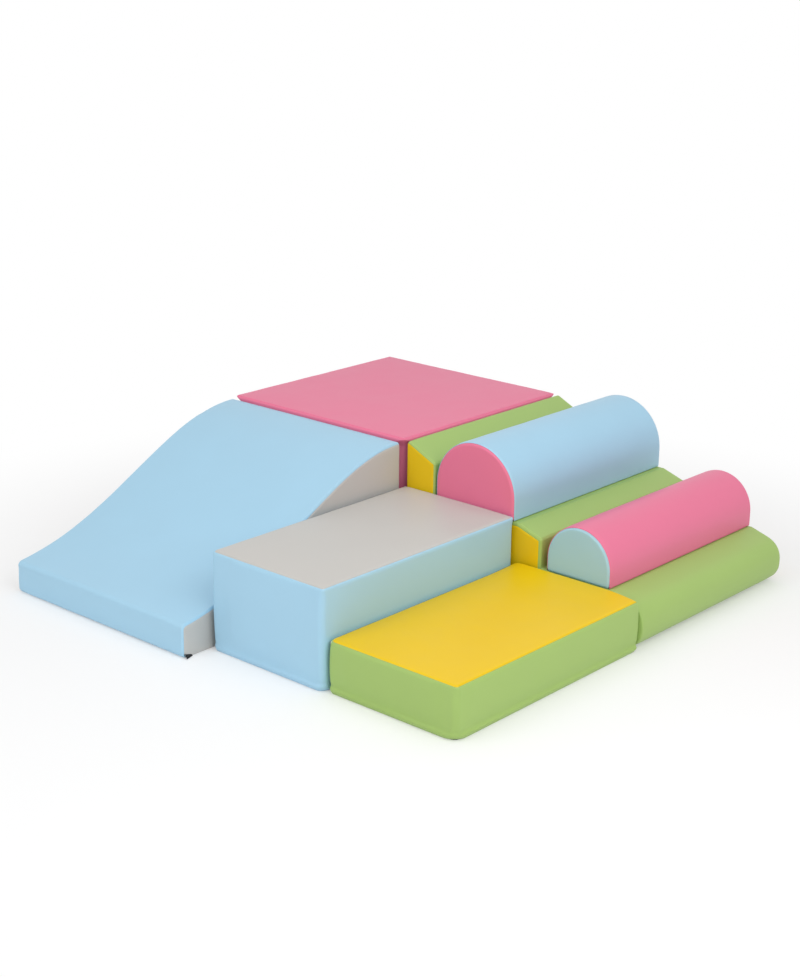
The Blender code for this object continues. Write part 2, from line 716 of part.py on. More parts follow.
def make_bumps(ramp_frame, materials):
    large_run = RAMP_TOP_RUN + LARGE_BUMP_GAP
    large = make_frame("large_bump", (large_run, 0.0, LARGE_TREAD_HEIGHT), 0.0, ramp_frame)
    large_colours = {"cover": "blue", "end": "pink"}
    make_bump(
        "large_bump", LARGE_BUMP_WIDTH, LARGE_BUMP_HEIGHT, RAMP_WIDTH, large_colours, large, materials
    )
    small_run = RAMP_TOP_RUN + LARGE_TREAD_RUN + RAMP_MIDDLE_RUN + SMALL_BUMP_GAP
    small = make_frame("small_bump", (small_run, 0.0, SMALL_TREAD_HEIGHT), 0.0, ramp_frame)
    small_colours = {"cover": "pink", "end": "aqua"}
    make_bump(
        "small_bump", SMALL_BUMP_WIDTH, SMALL_BUMP_HEIGHT, RAMP_WIDTH, small_colours, small, materials
    )
    return large, small


def make_fasteners(frames, materials):
    """The hook and loop tapes between modules, each pair filling the fastener gap."""
    reach = FASTENER_GAP - GAP - TAPE_THICKNESS
    high_mid = (LARGE_TREAD_HEIGHT + SLIDE_HEIGHT) / 2
    slide_tape = SLIDE_WIDTH - 2 * TAPE_END_MARGIN
    ramp_tape = RAMP_WIDTH - 2 * TAPE_END_MARGIN
    step_tape = HIGH_STEP_WIDTH - 2 * TAPE_END_MARGIN
    side_tape = LOW_STEP_LENGTH - 2 * TAPE_END_MARGIN

    platform = frames["platform"]
    slide_mid = PLATFORM_WIDTH - SLIDE_CORNER_SETBACK - SLIDE_WIDTH / 2
    make_tape(
        "platform_loop_tape_for_slide",
        slide_tape,
        TAPE_WIDTH,
        platform,
        (slide_mid, -GAP, high_mid),
        0.0,
        True,
        materials,
    )
    make_tape(
        "slide_hook_tape",
        slide_tape,
        TAPE_WIDTH,
        frames["slide"],
        (-GAP - TAPE_THICKNESS, SLIDE_WIDTH / 2, high_mid),
        math.pi / 2,
        True,
        materials,
    )
    ramp_mid = RAMP_CORNER_SETBACK + RAMP_WIDTH / 2
    make_tape(
        "platform_loop_tape_for_ramp",
        ramp_tape,
        TAPE_WIDTH,
        platform,
        (PLATFORM_WIDTH + GAP, ramp_mid, high_mid),
        math.pi / 2,
        True,
        materials,
    )
    make_tape(
        "ramp_hook_tape",
        ramp_tape,
        TAPE_WIDTH,
        frames["ramp"],
        (-GAP - TAPE_THICKNESS, RAMP_WIDTH / 2, high_mid),
        math.pi / 2,
        True,
        materials,
    )
    step_mid = HIGH_STEP_OFFSET + HIGH_STEP_WIDTH / 2
    step_tape_height = LARGE_TREAD_HEIGHT / 2
    make_tape(
        "ramp_loop_tape_for_high_step",
        step_tape,
        TAPE_WIDTH,
        frames["ramp"],
        (step_mid - FASTENER_GAP, -GAP, step_tape_height),
        0.0,
        True,
        materials,
    )
    make_tape(
        "high_step_hook_tape",
        step_tape,
        TAPE_WIDTH,
        frames["high_step"],
        (HIGH_STEP_WIDTH / 2, HIGH_STEP_LENGTH + GAP + TAPE_THICKNESS, step_tape_height),
        0.0,
        True,
        materials,
    )
    make_tape(
        "high_step_loop_tape_for_low_step",
        side_tape,
        TAPE_WIDTH,
        frames["high_step"],
        (HIGH_STEP_WIDTH + GAP, HIGH_STEP_LENGTH - LOW_STEP_LENGTH / 2, LOW_TAPE_HEIGHT),
        math.pi / 2,
        True,
        materials,
    )
    make_tape(
        "low_step_hook_tape",
        side_tape,
        TAPE_WIDTH,
        frames["low_step"],
        (-GAP - TAPE_THICKNESS, LOW_STEP_LENGTH / 2, LOW_TAPE_HEIGHT),
        math.pi / 2,
        True,
        materials,
    )
    for bump, width, frame_name in (
        ("large_bump", LARGE_BUMP_WIDTH, "large_bump"),
        ("small_bump", SMALL_BUMP_WIDTH, "small_bump"),
    ):
        carrier = frames[frame_name]
        spot = carrier.location
        make_tape(
            "ramp_loop_tape_for_" + bump,
            ramp_tape,
            TAPE_WIDTH,
            frames["ramp"],
            (spot.x + width / 2, RAMP_WIDTH / 2, spot.z + GAP),
            math.pi / 2,
            False,
            materials,
        )
        make_tape(
            bump + "_hook_tape",
            ramp_tape,
            TAPE_WIDTH,
            carrier,
            (width / 2, RAMP_WIDTH / 2, reach),
            math.pi / 2,
            False,
            materials,
        )


def main():
    clear_scene()
    materials = make_materials()
    centre = (-(MODEL_LEFT + MODEL_RIGHT) / 2, -(MODEL_FRONT + MODEL_BACK) / 2, 0.0)
    root = make_frame("climber", centre)
    frames = {
        "platform": make_platform(root, materials),
        "slide": make_slide(root, materials),
        "ramp": make_ramp(root, materials),
    }
    frames["high_step"] = make_step(
        "high_step",
        HIGH_STEP_WIDTH,
        HIGH_STEP_LENGTH,
        HIGH_STEP_HEIGHT,
        HIGH_STEP_OFFSET,
        "f",
        {"top": "grey", "side": "blue"},
        root,
        materials,
    )
    frames["low_step"] = make_step(
        "low_step",
        LOW_STEP_WIDTH,
        LOW_STEP_LENGTH,
        LOW_STEP_HEIGHT,
        LOW_STEP_LEFT,
        "rf",
        {"top": "yellow", "side": "green"},
        root,
        materials,
    )
    frames["large_bump"], frames["small_bump"] = make_bumps(frames["ramp"], materials)
    make_fasteners(frames, materials)


main()
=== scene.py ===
"""Soft play foam climber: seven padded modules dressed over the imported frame.

Each module gets its sewn cover of padded panels, its foam block, its grip base, its zip and its
hook and loop tapes. Metres, +Z up, floor at Z = 0.
"""

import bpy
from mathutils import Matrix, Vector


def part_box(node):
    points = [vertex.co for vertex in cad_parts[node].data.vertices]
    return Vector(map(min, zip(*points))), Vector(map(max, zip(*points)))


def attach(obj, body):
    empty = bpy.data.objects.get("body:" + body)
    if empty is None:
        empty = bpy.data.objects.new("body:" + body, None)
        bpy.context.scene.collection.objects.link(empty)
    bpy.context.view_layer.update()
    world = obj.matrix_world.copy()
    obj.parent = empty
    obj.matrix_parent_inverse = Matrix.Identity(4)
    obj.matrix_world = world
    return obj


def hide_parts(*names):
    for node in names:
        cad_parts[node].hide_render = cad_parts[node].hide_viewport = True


bl_info = {
    "name": "Soft Play Climber",
    "version": (1, 0, 0),
    "blender": (4, 5, 0),
    "location": "View3D > Sidebar > Climber",
    "description": "Builds the padded covers, fasteners and studio stage of a soft play foam climber",
    "category": "Add Mesh",
}

import math

import bmesh
import bpy
from bpy.props import FloatProperty, FloatVectorProperty, IntProperty, PointerProperty
from mathutils import Matrix, Vector, kdtree, noise
from mathutils.geometry import interpolate_bezier

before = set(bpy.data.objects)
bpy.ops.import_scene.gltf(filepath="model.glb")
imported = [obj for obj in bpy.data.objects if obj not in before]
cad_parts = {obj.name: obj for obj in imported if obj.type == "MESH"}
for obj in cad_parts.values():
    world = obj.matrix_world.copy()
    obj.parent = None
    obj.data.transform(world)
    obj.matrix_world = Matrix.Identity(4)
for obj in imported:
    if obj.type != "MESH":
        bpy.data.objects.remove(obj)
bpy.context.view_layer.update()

# Block modules
PLATFORM_HEIGHT = 0.356
HIGH_STEP_HEIGHT = 0.237
LOW_STEP_HEIGHT = 0.1215
CORNER_ROUND = 0.015
PLATFORM_CORNER_ROUND = 0.058
TOP_CORNER_HEIGHT = 0.020
FOOT_CORNER_HEIGHT = 0.030
CORNER_STEPS = 12
BASE_CORNER = 0.036
FOOT_TUCK = 0.008
FOOT_SHOW = 0.0045
FOOT_ROUND = 0.017
FOOT_STEPS = 7
HEM_LEVEL = 0.0004
FOLD_LEVEL = 0.0215
FOLD_REACH = 0.008
FOLD_DEPTH = 0.0014
WELT_LEVEL = 0.011
WELT_REACH = 0.008
WELT_DEPTH = 0.0034
FOLD_TOP = 0.038
FOLD_SCALE = 9.0
FOLD_MEAN_SHARE = 0.7
FOLD_SPREAD_SHARE = 0.6
RIPPLE_DEPTH = 0.0012
RIPPLE_SCALE = 62.0
RIPPLE_STRETCH_SHARE = 0.3
SHOULDER = 0.007
SHOULDER_STEPS = 5
SEAM_INSET = 0.003
SEAM_DROP = 0.0008
SEAM_FOLD = ((0.0006, 0.0010), (0.0010, 0.0019))
SEAM_GAP = 0.0012
CROWN = 0.0036
CROWN_SHARE = 0.75
CROWN_POWER = 2.3
SIDE_BULGE = 0.0032
LOW_STEP_RISE = 0.0085
HIGH_STEP_RISE = 0.002
RISE_LEFT = 0.025
RISE_RIGHT = 0.10
RISE_REACH = 0.13

# Slide
SLIDE_HEIGHT = 0.349
BACK_LAP = 0.012
BACK_HEM = 0.01
SLIDE_WIDTH = 0.595
SLIDE_LENGTH = 0.718
SLIDE_CREST_REACH = 0.240
SLIDE_FOOT_REACH = 0.300
SLIDE_NOSE_HEIGHT = 0.078
SLIDE_NOSE_SLOPE = math.radians(7.5)
SLIDE_NOSE_ROUND = 0.013
SLIDE_FOOT_ROUND = 0.010

# Ramp
RAMP_WIDTH = 0.611
RAMP_LENGTH = 0.7073
RAMP_HEIGHT = 0.3555
LARGE_WALL = 0.090
LARGE_WALL_TOP = 0.3125
LARGE_TREAD = 0.2225
LARGE_TREAD_END = 0.349
SMALL_WALL = 0.4185
SMALL_WALL_TOP = 0.199
SMALL_TREAD = 0.126
SMALL_TREAD_END = 0.6185
RAMP_NOSE_HEIGHT = 0.099
RAMP_NOSE_ROUND = 0.050
RAMP_FOOT_ROUND = 0.048
WALL_EDGE_ROUND = 0.009
TREAD_CORNER_ROUND = 0.003
TREAD_END_ROUND = 0.020
TREAD_MARGIN = 0.004
BACK_EDGE_ROUND = 0.006

# Bumps
LARGE_BUMP = (0.240, 0.1675)
SMALL_BUMP = (0.178, 0.126)
ARCH_STEPS = 24
BUMP_HELD_LEVEL = 0.05
BUMP_FREE_REACH = 0.06
BUMP_LEAST_GIVE = 0.1

# Cover fabric and how it is sewn
SKIN = 0.0015
GAP = 0.0003
FASTENER_GAP = 0.0037
EDGE_ROLL = 0.0045
EDGE_STEPS = 5
BUMP_EDGE_ROLL = 0.0010
END_PROUD = 0.0016
RAMP_LAPS = (
    (0.0, 1.2),
    (LARGE_WALL, 1.0),
    (LARGE_TREAD_END, 1.75),
    (SMALL_TREAD_END, 1.75),
    (RAMP_LENGTH, 3.8),
)
EDGE_TURN = ((0.0011, 0.0006), (0.0006, 0.0003))
TOP_SINK = ((0.0003, 0.0007), (0.0005, 0.0006), (0.0007, 0.0004), (0.0010, 0.0002))
END_SINK = ((0.0004, 0.0009), (0.0005, 0.0006), (0.0007, 0.0005), (0.0010, 0.0003), (0.0014, 0.0002))
SIDE_SINK = ((0.0003, 0.0004), (0.0005, 0.0003), (0.0008, 0.0002), (0.0012, 0.0001))
SEAM_REACH = 0.014
WELD = 0.00002
CUT_SNAP = 0.0006
LEAST_ROUND = 0.0025
STITCH_WIDTH = 0.0009
STITCH_HEIGHT = 0.0004
STITCH_PROUD = 0.0001
STITCH_MARGIN = 0.006
STITCH_PITCH_SHARE = 1.25
BASE_LIFT = 0.0003
FOAM_BEVEL = 0.0006
BASE_BEVEL = 0.0004
TAPE_BEVEL = 0.0003
CHAIN_BEVEL = 0.0001
METAL_BEVEL = 0.00015

# How much of its swelling a panel keeps where a neighbour stands against it
LEANT_ON_SHARE = 0.15
CREASE_SCALE = 14.0
# How the finer creases fall off, how much finer each is, and how many there are
CREASE_FRACTAL = (0.8, 2.0, 3)
# Firm coated fabric under a little inner pressure
CLOTH = {
    "quality": 4,
    "mass": 0.4,
    "tension_stiffness": 40,
    "compression_stiffness": 20,
    "shear_stiffness": 20,
    "bending_stiffness": 2.0,
    "use_pressure": True,
    "uniform_pressure_force": 4,
    "shrink_min": -0.004,
}

# The zip tape's tail at the slide's nose: its corners in plan, and how it lies
TAIL_ROOT = (Vector((-0.0652, -0.6448)), Vector((-0.0652, -0.6673)))
TAIL_END = (Vector((-0.0587, -0.6463)), Vector((-0.0512, -0.6688)))
TAIL_THICKNESS = 0.0007
TAIL_GRID = (8, 6)
TAIL_ARCH = (0.003, 0.009)

# Camera, fitted to the corners of the object
CAMERA_PLACE = Vector((2.6554, -3.0267, 1.561))
CAMERA_AZIMUTH = math.radians(41.46)
CAMERA_ELEVATION = math.radians(17.98)
CAMERA_ROLL = math.radians(0.69)
CAMERA_LENS = 64.30

# Studio: the floor, the soft world, and each lamp's name, place, size and power
FLOOR_RADIUS = 9.0
SHADOW_CENTRE = (0.22, -0.18, 0.0)
WORLD_STRENGTH = 0.5
LAMP_AIM = Vector((0.0, 0.0, 0.1))
LAMPS = (
    ("front_softbox", (-0.6, -3.3, 2.5), 2.6, 36.5),
    ("right_softbox", (2.6, -0.9, 2.2), 2.2, 40.0),
    ("overhead_softbox", (0.2, -0.1, 3.0), 3.0, 17.0),
)
WHITE = (1.0, 1.0, 1.0, 1.0)


def linear_colour(hex_colour):
    channels = [int(hex_colour[start : start + 2], 16) / 255 for start in (1, 3, 5)]
    return [c / 12.92 if c <= 0.04045 else ((c + 0.055) / 1.055) ** 2.4 for c in channels]


def colour_property(name, description, hex_colour):
    return FloatVectorProperty(
        name=name,
        description=description,
        subtype="COLOR",
        size=3,
        min=0.0,
        max=1.0,
        default=linear_colour(hex_colour),
    )


def length_property(name, description, metres, most):
    return FloatProperty(
        name=name,
        description=description,
        subtype="DISTANCE",
        unit="LENGTH",
        min=0.0,
        max=most,
        precision=4,
        default=metres,
    )


class ClimberColours(bpy.types.PropertyGroup):
    pink: colour_property("Pink", "Pink coated fabric", "#E87999")
    blue: colour_property("Pale blue", "Pale blue coated fabric", "#A7D0E7")
    grey: colour_property("Warm grey", "Warm grey coated fabric", "#C5C2BD")
    green: colour_property("Leaf green", "Leaf green coated fabric", "#A2BF6B")
    yellow: colour_property("Yellow", "Sunny yellow coated fabric", "#ECC407")
    aqua: colour_property("Pale aqua", "Pale aqua coated fabric", "#A3CBDC")
    base: colour_property("Grip base", "Dark grip fabric under each module", "#4B4E52")
    foam: colour_property("Foam", "Closed-cell foam", "#EDEBE4")
    tape: colour_property("Fastener tape", "Black hook and loop tape", "#1C1C1E")
    metal: colour_property("Zip metal", "Black enamelled zinc", "#141416")
    floor: colour_property("Floor", "Studio floor", "#FBFBFB")


class ClimberSizes(bpy.types.PropertyGroup):
    grid: length_property("Panel grid", "Distance between a panel's grid lines", 0.012, 0.05)
    pillow: length_property("Pillow", "Most that a free panel swells off its foam", 0.0016, 0.02)
    crease: length_property("Crease", "Depth of the soft creases in the covers", 0.0005, 0.004)
    grain: length_property("Grain", "Width of one pebble of the embossed grain", 0.0016, 0.01)
    stitch: length_property("Stitch", "Length of one stitch on a base or tape", 0.0050, 0.02)
    frames: IntProperty(name="Cloth frames", description="Frames of cloth simulation", default=20, min=2)


# Paths and outlines


def rounded_path(corners, steps=6):
    """Points with outward normals along runs joined by arcs. Corners are (run, height, radius)."""
    spots = [Vector(corner[:2]) for corner in corners]
    ways = [(after - before).normalized() for before, after in zip(spots, spots[1:])]
    lengths = [(after - before).length for before, after in zip(spots, spots[1:])]
    outs = [Vector((-way.y, way.x)) for way in ways]
    path = [(spots[0], outs[0])]
    for index in range(1, len(spots) - 1):
        before = outs[index - 1]
        after = outs[index]
        turn = before.angle_signed(after)
        half = math.tan(abs(turn) / 2)
        room_before = lengths[index - 1] / (1 if index == 1 else 2)
        room_after = lengths[index] / (1 if index == len(spots) - 2 else 2)
        radius = min(corners[index][2], min(room_before, room_after) / half) if half > 0 else 0.0
        if radius == 0.0:
            path.append((spots[index], (before + after).normalized() / math.cos(turn / 2)))
            continue
        side = 1 if turn > 0 else -1
        centre = spots[index] - ways[index - 1] * radius * half - before * radius * side
        for step in range(steps + 1):
            out = Matrix.Rotation(-turn * step / steps, 2) @ before
            spot = centre + out * radius * side
            if (spot - path[-1][0]).length > WELD:
                path.append((spot, out))
    path.append((spots[-1], outs[-1]))
    return path


def evenly(path, step):
    """The path with extra points so that no two are further apart than a step."""
    filled = [path[0]]
    for spot, out in path[1:]:
        last, last_out = filled[-1]
        parts = max(1, math.ceil((spot - last).length / step - 0.2))
        for part in range(1, parts + 1):
            filled.append((last.lerp(spot, part / parts), last_out.lerp(out, part / parts)))
    return filled


def slide_corners():
    """The wave: level at the platform, and sloped a little at the nose."""
    drop = SLIDE_FOOT_REACH * math.tan(SLIDE_NOSE_SLOPE)
    wave = interpolate_bezier(
        Vector((0.0, SLIDE_HEIGHT, 0.0)),
        Vector((SLIDE_CREST_REACH, SLIDE_HEIGHT, 0.0)),
        Vector((SLIDE_LENGTH - SLIDE_FOOT_REACH, SLIDE_NOSE_HEIGHT + drop, 0.0)),
        Vector((SLIDE_LENGTH, SLIDE_NOSE_HEIGHT, 0.0)),
        61,
    )
    corners = [(0.0, SLIDE_HEIGHT - BACK_LAP, 0.0), (0.0, SLIDE_HEIGHT, BACK_EDGE_ROUND)]
    corners += [(point.x, point.y, 0.0) for point in wave[2:-2]]
    return corners + [
        (SLIDE_LENGTH, SLIDE_NOSE_HEIGHT, SLIDE_NOSE_ROUND),
        (SLIDE_LENGTH, HEM_LEVEL, SLIDE_FOOT_ROUND),
        (SLIDE_LENGTH - SLIDE_FOOT_ROUND + HEM_LEVEL, HEM_LEVEL, 0.0),
    ]


def ramp_corners():
    """Slope, wall, tread, slope, wall, tread, slope and nose."""
    return [
        (0.0, RAMP_HEIGHT - BACK_LAP, 0.0),
        (0.0, RAMP_HEIGHT, BACK_EDGE_ROUND),
        (LARGE_WALL, LARGE_WALL_TOP, WALL_EDGE_ROUND),
        (LARGE_WALL, LARGE_TREAD, TREAD_CORNER_ROUND),
        (LARGE_TREAD_END, LARGE_TREAD, TREAD_END_ROUND),
        (SMALL_WALL, SMALL_WALL_TOP, WALL_EDGE_ROUND),
        (SMALL_WALL, SMALL_TREAD, TREAD_CORNER_ROUND),
        (SMALL_TREAD_END, SMALL_TREAD, TREAD_END_ROUND),
        (RAMP_LENGTH, RAMP_NOSE_HEIGHT, RAMP_NOSE_ROUND),
        (RAMP_LENGTH, HEM_LEVEL, RAMP_FOOT_ROUND),
        (RAMP_LENGTH - RAMP_FOOT_ROUND + HEM_LEVEL, HEM_LEVEL, 0.0),
    ]


def bump_corners(width, height):
    return [
        (0.0, GAP, 0.0),
        (0.0, height, width / 2),
        (width, height, width / 2),
        (width, GAP, 0.0),
    ]


def no_lap(run):
    return 1.0


def ramp_lap(run):
    """How much further than a plain edge roll the ramp's deck laps down its sides, most at the nose."""
    for (start, first), (end, last) in zip(RAMP_LAPS, RAMP_LAPS[1:]):
        if run < end:
            return first + (last - first) * max(run - start, 0.0) / (end - start)
    return RAMP_LAPS[-1][1]


def side_outline(corners, lap, closing):
    """The outline of a flat side under a deck: the deck's corners drawn in, then its own foot and back."""
    sharp = rounded_path([(run, height, 0.0) for run, height, radius in corners])
    spots = [spot for spot, out in sharp]
    ways = [after - before for before, after in zip(spots, spots[1:])]
    drawn_in = []
    for index in range(1, len(corners)):
        spot, out = sharp[index]
        radius = corners[index][2]
        inset = (EDGE_ROLL + GAP) * lap(spot.x)
        point = spot - out * inset
        if radius:
            outward = ways[index - 1].angle_signed(ways[index]) > 0
            radius = max(radius - inset, LEAST_ROUND) if outward else radius + inset
        drawn_in.append((point.x, point.y, radius))
    path = rounded_path(drawn_in)
    return [spot for spot, out in path] + [Vector(point) for point in closing]


class Block:
    """A block module: its bounds in the frame, its height, its upright corners and the sides that bulge.

    Corners run from the back right, counter-clockwise: each has its radius half way up, at the top seam
    and how much wider it gets at the foot.
    """

    def __init__(self, name, height, corners, tops, widenings, back_rise, bulging, step):
        low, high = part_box(name + "_base_panel")
        self.height = height
        self.corners = corners
        self.tops = tops
        self.widenings = widenings
        self.back_rise = back_rise
        self.bulging = bulging
        self.left = low.x - FOOT_TUCK
        self.right = high.x + FOOT_TUCK
        self.front = low.y - FOOT_TUCK
        self.back = high.y + FOOT_TUCK
        self.counts = (round((high.x - low.x) / step), round((high.y - low.y) / step))

    def corner_round(self, level, quarter):
        """The radius of an upright corner: changed where the foot turns in and at the top seam."""
        foot_share = min(max(1 - level / FOOT_CORNER_HEIGHT, 0.0), 1.0) ** 2
        top_share = min(max(1 - (self.height - level) / TOP_CORNER_HEIGHT, 0.0), 1.0)
        corner = self.corners[quarter]
        widened = self.widenings[quarter] * foot_share
        return corner + widened + (self.tops[quarter] - corner) * top_share

    def ring(self, inset, level, bulge=0.0):
        """Stations (place, outward) counter-clockwise round the block, the first one again at the end."""
        outs = [bulge - inset if side in self.bulging else -inset for side in "lrfb"]
        low = Vector((self.left - outs[0], self.front - outs[2]))
        high = Vector((self.right + outs[1], self.back + outs[3]))
        arcs = []
        for quarter, (side_x, side_y) in enumerate(((1, 1), (-1, 1), (-1, -1), (1, -1))):
            radius = max(self.corner_round(level, quarter) - inset, GAP)
            corner = Vector((high.x if side_x > 0 else low.x, high.y if side_y > 0 else low.y))
            centre = corner - Vector((side_x, side_y)) * radius
            arcs.append([])
            for part in range(CORNER_STEPS + 1):
                angle = (quarter + part / CORNER_STEPS) * math.pi / 2
                out = Vector((math.cos(angle), math.sin(angle)))
                arcs[-1].append((centre + out * radius, out))
        stations = []
        for quarter, arc in enumerate(arcs):
            start, out = arc[-1]
            end = arcs[(quarter + 1) % 4][0][0]
            count = self.counts[quarter % 2]
            stations += arc
            stations += [(start.lerp(end, part / count), out) for part in range(1, count)]
        return stations + stations[:1]

    def crown_share(self, spot):
        """From 0 at the top seam to 1 over the middle of the top, smooth across its diagonals."""
        across = max(min(spot.x - self.left, self.right - spot.x) - SEAM_INSET, WELD)
        along = max(min(spot.y - self.front, self.back - spot.y) - SEAM_INSET, WELD)
        reach = min(self.right - self.left, self.back - self.front) / 2 * CROWN_SHARE
        near = (across**-4 + along**-4) ** -0.25 / reach
        return 1 - (1 - min(near, 1.0)) ** 3

    def open_share(self, out):
        """How far this way out of the block faces one of the sides that bulge, from 0 to 1."""
        ways = {"l": -out.x, "r": out.x, "f": -out.y, "b": out.y}
        return max([ways[side] for side in self.bulging] + [0.0])

    def rise(self, x, y):
        """How far the top is pressed up along its back edge, where the module leans on the ramp."""
        near_left = min(max((x - self.left) / RISE_LEFT, 0.0), 1.0)
        near_right = min(max((self.right - x) / RISE_RIGHT, 0.0), 1.0)
        near_back = min(max(1 - (self.back - y) / RISE_REACH, 0.0), 1.0)
        across_share = math.sin(near_left * math.pi / 2) * math.sin(near_right * math.pi / 2)
        return self.back_rise * across_share * near_back**2

    def sides_near(self, spot):
        """The sides whose wall this place is on, by their letters."""
        gaps = (spot.x - self.left, self.right - spot.x, spot.y - self.front, self.back - spot.y)
        return [side for side, gap in zip("lrfb", gaps) if gap < max(self.corners)]


# Meshes


def new_piece(name, bm, material, place=Matrix.Identity(4)):
    """Makes the mesh into an object that stands at the origin with its place in its mesh."""
    bmesh.ops.transform(bm, matrix=place, verts=bm.verts)
    mesh = bpy.data.meshes.new(name)
    bm.to_mesh(mesh)
    bm.free()
    mesh.materials.append(material)
    mesh.shade_smooth()
    piece = bpy.data.objects.new(name, mesh)
    bpy.context.collection.objects.link(piece)
    return piece


def add_piece(name, bm, look, body, slot, *nodes, place=Matrix.Identity(4)):
    """A piece in that finish, which rides on its body and takes the place of its CAD nodes."""
    piece = new_piece(name, bm, finish(look), place)
    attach(piece, body)
    if nodes:
        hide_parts(*nodes)
    return piece


def add_cover(name, bm, hue, body, node, place=Matrix.Identity(4)):
    return add_piece(name, bm, hue + "_coated_fabric", body, hue + "_cover", node, place=place)


def laid_grid(columns, rows, lay):
    """A grid of quads whose crossings are laid by column and row."""
    bm = bmesh.new()
    bmesh.ops.create_grid(bm, x_segments=columns, y_segments=rows, size=1.0)
    for vert in bm.verts:
        column = round((vert.co.x + 1.0) / 2.0 * columns)
        row = round((vert.co.y + 1.0) / 2.0 * rows)
        vert.co = lay(column, row)
    bmesh.ops.remove_doubles(bm, verts=bm.verts, dist=WELD)
    return bm


def cut_panel(outline, sink, step):
    """A flat panel: rings near its edge rise from the sunk seam, then planes cut it into a grid."""
    bm = bmesh.new()
    loop = [bm.verts.new((point.x, point.y, 0.0)) for point in outline]
    edges = [bm.edges.new(pair) for pair in zip(loop, loop[1:] + loop[:1])]
    face = bmesh.ops.contextual_create(bm, geom=edges)["faces"][0]
    face.normal_update()
    if face.normal.z < 0:
        face.normal_flip()
    rise = 0.0
    for width, depth in sink:
        bmesh.ops.inset_region(
            bm, faces=[face], use_boundary=True, use_even_offset=True, thickness=width, depth=depth
        )
        rise += depth
    low_x = min(point.x for point in outline)
    high_x = max(point.x for point in outline)
    low_y = min(point.y for point in outline)
    high_y = max(point.y for point in outline)
    for low, high, axis in ((low_x, high_x, Vector((1, 0, 0))), (low_y, high_y, Vector((0, 1, 0)))):
        count = max(2, round((high - low) / step))
        for cut in range(1, count):
            bmesh.ops.bisect_plane(
                bm,
                geom=bm.verts[:] + bm.edges[:] + bm.faces[:],
                dist=CUT_SNAP,
                plane_co=axis * (low + (high - low) * cut / count),
                plane_no=axis,
            )
    bmesh.ops.translate(bm, verts=bm.verts, vec=(0.0, 0.0, -rise))
    return bm


def mark_held(bm, held):
    """Marks the vertices that the seams and the floor hold, which stay where they are."""
    layer = bm.verts.layers.float.new("held")
    for vert in bm.verts:
        vert[layer] = 1.0 if vert.is_boundary or held(vert.co) else 0.0


def mark_give(bm, give):
    """Marks how much of its swelling each vertex keeps, from 0 against a neighbour to 1 in the open."""
    layer = bm.verts.layers.float.new("give")
    for vert in bm.verts:
        vert[layer] = give(vert.co)


def mark_seams(mesh):
    """Writes how near each vertex is to a sewn edge, from 1 on the seam to 0, for the materials."""
    bm = bmesh.new()
    bm.from_mesh(mesh)
    edge_spots = [vert.co.copy() for vert in bm.verts if vert.is_boundary]
    bm.free()
    tree = kdtree.KDTree(len(edge_spots))
    for index, spot in enumerate(edge_spots):
        tree.insert(spot, index)
    tree.balance()
    seam = mesh.attributes.new("seam", "FLOAT", "POINT")
    for vert in mesh.vertices:
        distance = tree.find(vert.co)[2]
        seam.data[vert.index].value = max(0.0, 1.0 - distance / SEAM_REACH)


def swell(pieces, sizes):
    """Lets the cloth swell every panel at once, then keeps it within the cap and creases it softly."""
    for piece in pieces:
        # One pin keeps a panel from drifting away. Its seams are left out of the swelling further down
        group = piece.vertex_groups.new(name="pin")
        group.add([0], 1.0, "REPLACE")
        cloth = piece.modifiers.new("swell", "CLOTH")
        cloth.settings.vertex_group_mass = group.name
        for key, value in CLOTH.items():
            setattr(cloth.settings, key, value)
        cloth.settings.effector_weights.gravity = 0.0
        cloth.collision_settings.use_collision = False
    scene = bpy.context.scene
    moved = {}
    for step in range(1, sizes.frames + 1):
        scene.frame_set(step)
    graph = bpy.context.evaluated_depsgraph_get()
    for piece in pieces:
        evaluated = piece.evaluated_get(graph)
        moved[piece.name] = [vert.co.copy() for vert in evaluated.to_mesh().vertices]
        evaluated.to_mesh_clear()
    scene.frame_set(1)
    for piece in pieces:
        piece.modifiers.remove(piece.modifiers["swell"])
        mesh = piece.data
        normals = [normal.vector.copy() for normal in mesh.vertex_normals]
        give = mesh.attributes["give"].data
        held = mesh.attributes["held"].data
        for vert in mesh.vertices:
            if held[vert.index].value > 0.5:
                continue
            out = normals[vert.index]
            spot = vert.co.copy()
            rise = 0.0
            if piece.name in moved:
                rise = max(0.0, (moved[piece.name][vert.index] - spot).dot(out))
                rise = sizes.pillow * math.tanh(rise / sizes.pillow)
            rise += sizes.crease * noise.fractal(spot * CREASE_SCALE, *CREASE_FRACTAL)
            vert.co = spot + out * rise * give[vert.index].value
        mesh.update()


def thicken(piece, thickness, offset):
    """Gives a sheet its thickness, inwards where the offset is -1, and rounds it."""
    thick = piece.modifiers.new("thickness", "SOLIDIFY")
    thick.thickness = thickness
    thick.offset = offset
    smooth = piece.modifiers.new("smooth", "SUBSURF")
    smooth.levels = 1
    smooth.render_levels = 1


# Materials


def feed(tree, node, inputs):
    """Gives each input its link or its value."""
    for key, value in inputs.items():
        if isinstance(value, bpy.types.NodeSocket):
            tree.links.new(value, node.inputs[key])
        else:
            node.inputs[key].default_value = value


def add_node(tree, kind, output, inputs=None, **settings):
    """Adds a node with its settings, and links or values for its inputs, and gives one of its outputs."""
    node = tree.nodes.new("ShaderNode" + kind)
    for key, value in settings.items():
        setattr(node, key, value)
    feed(tree, node, inputs or {})
    return node.outputs[output]


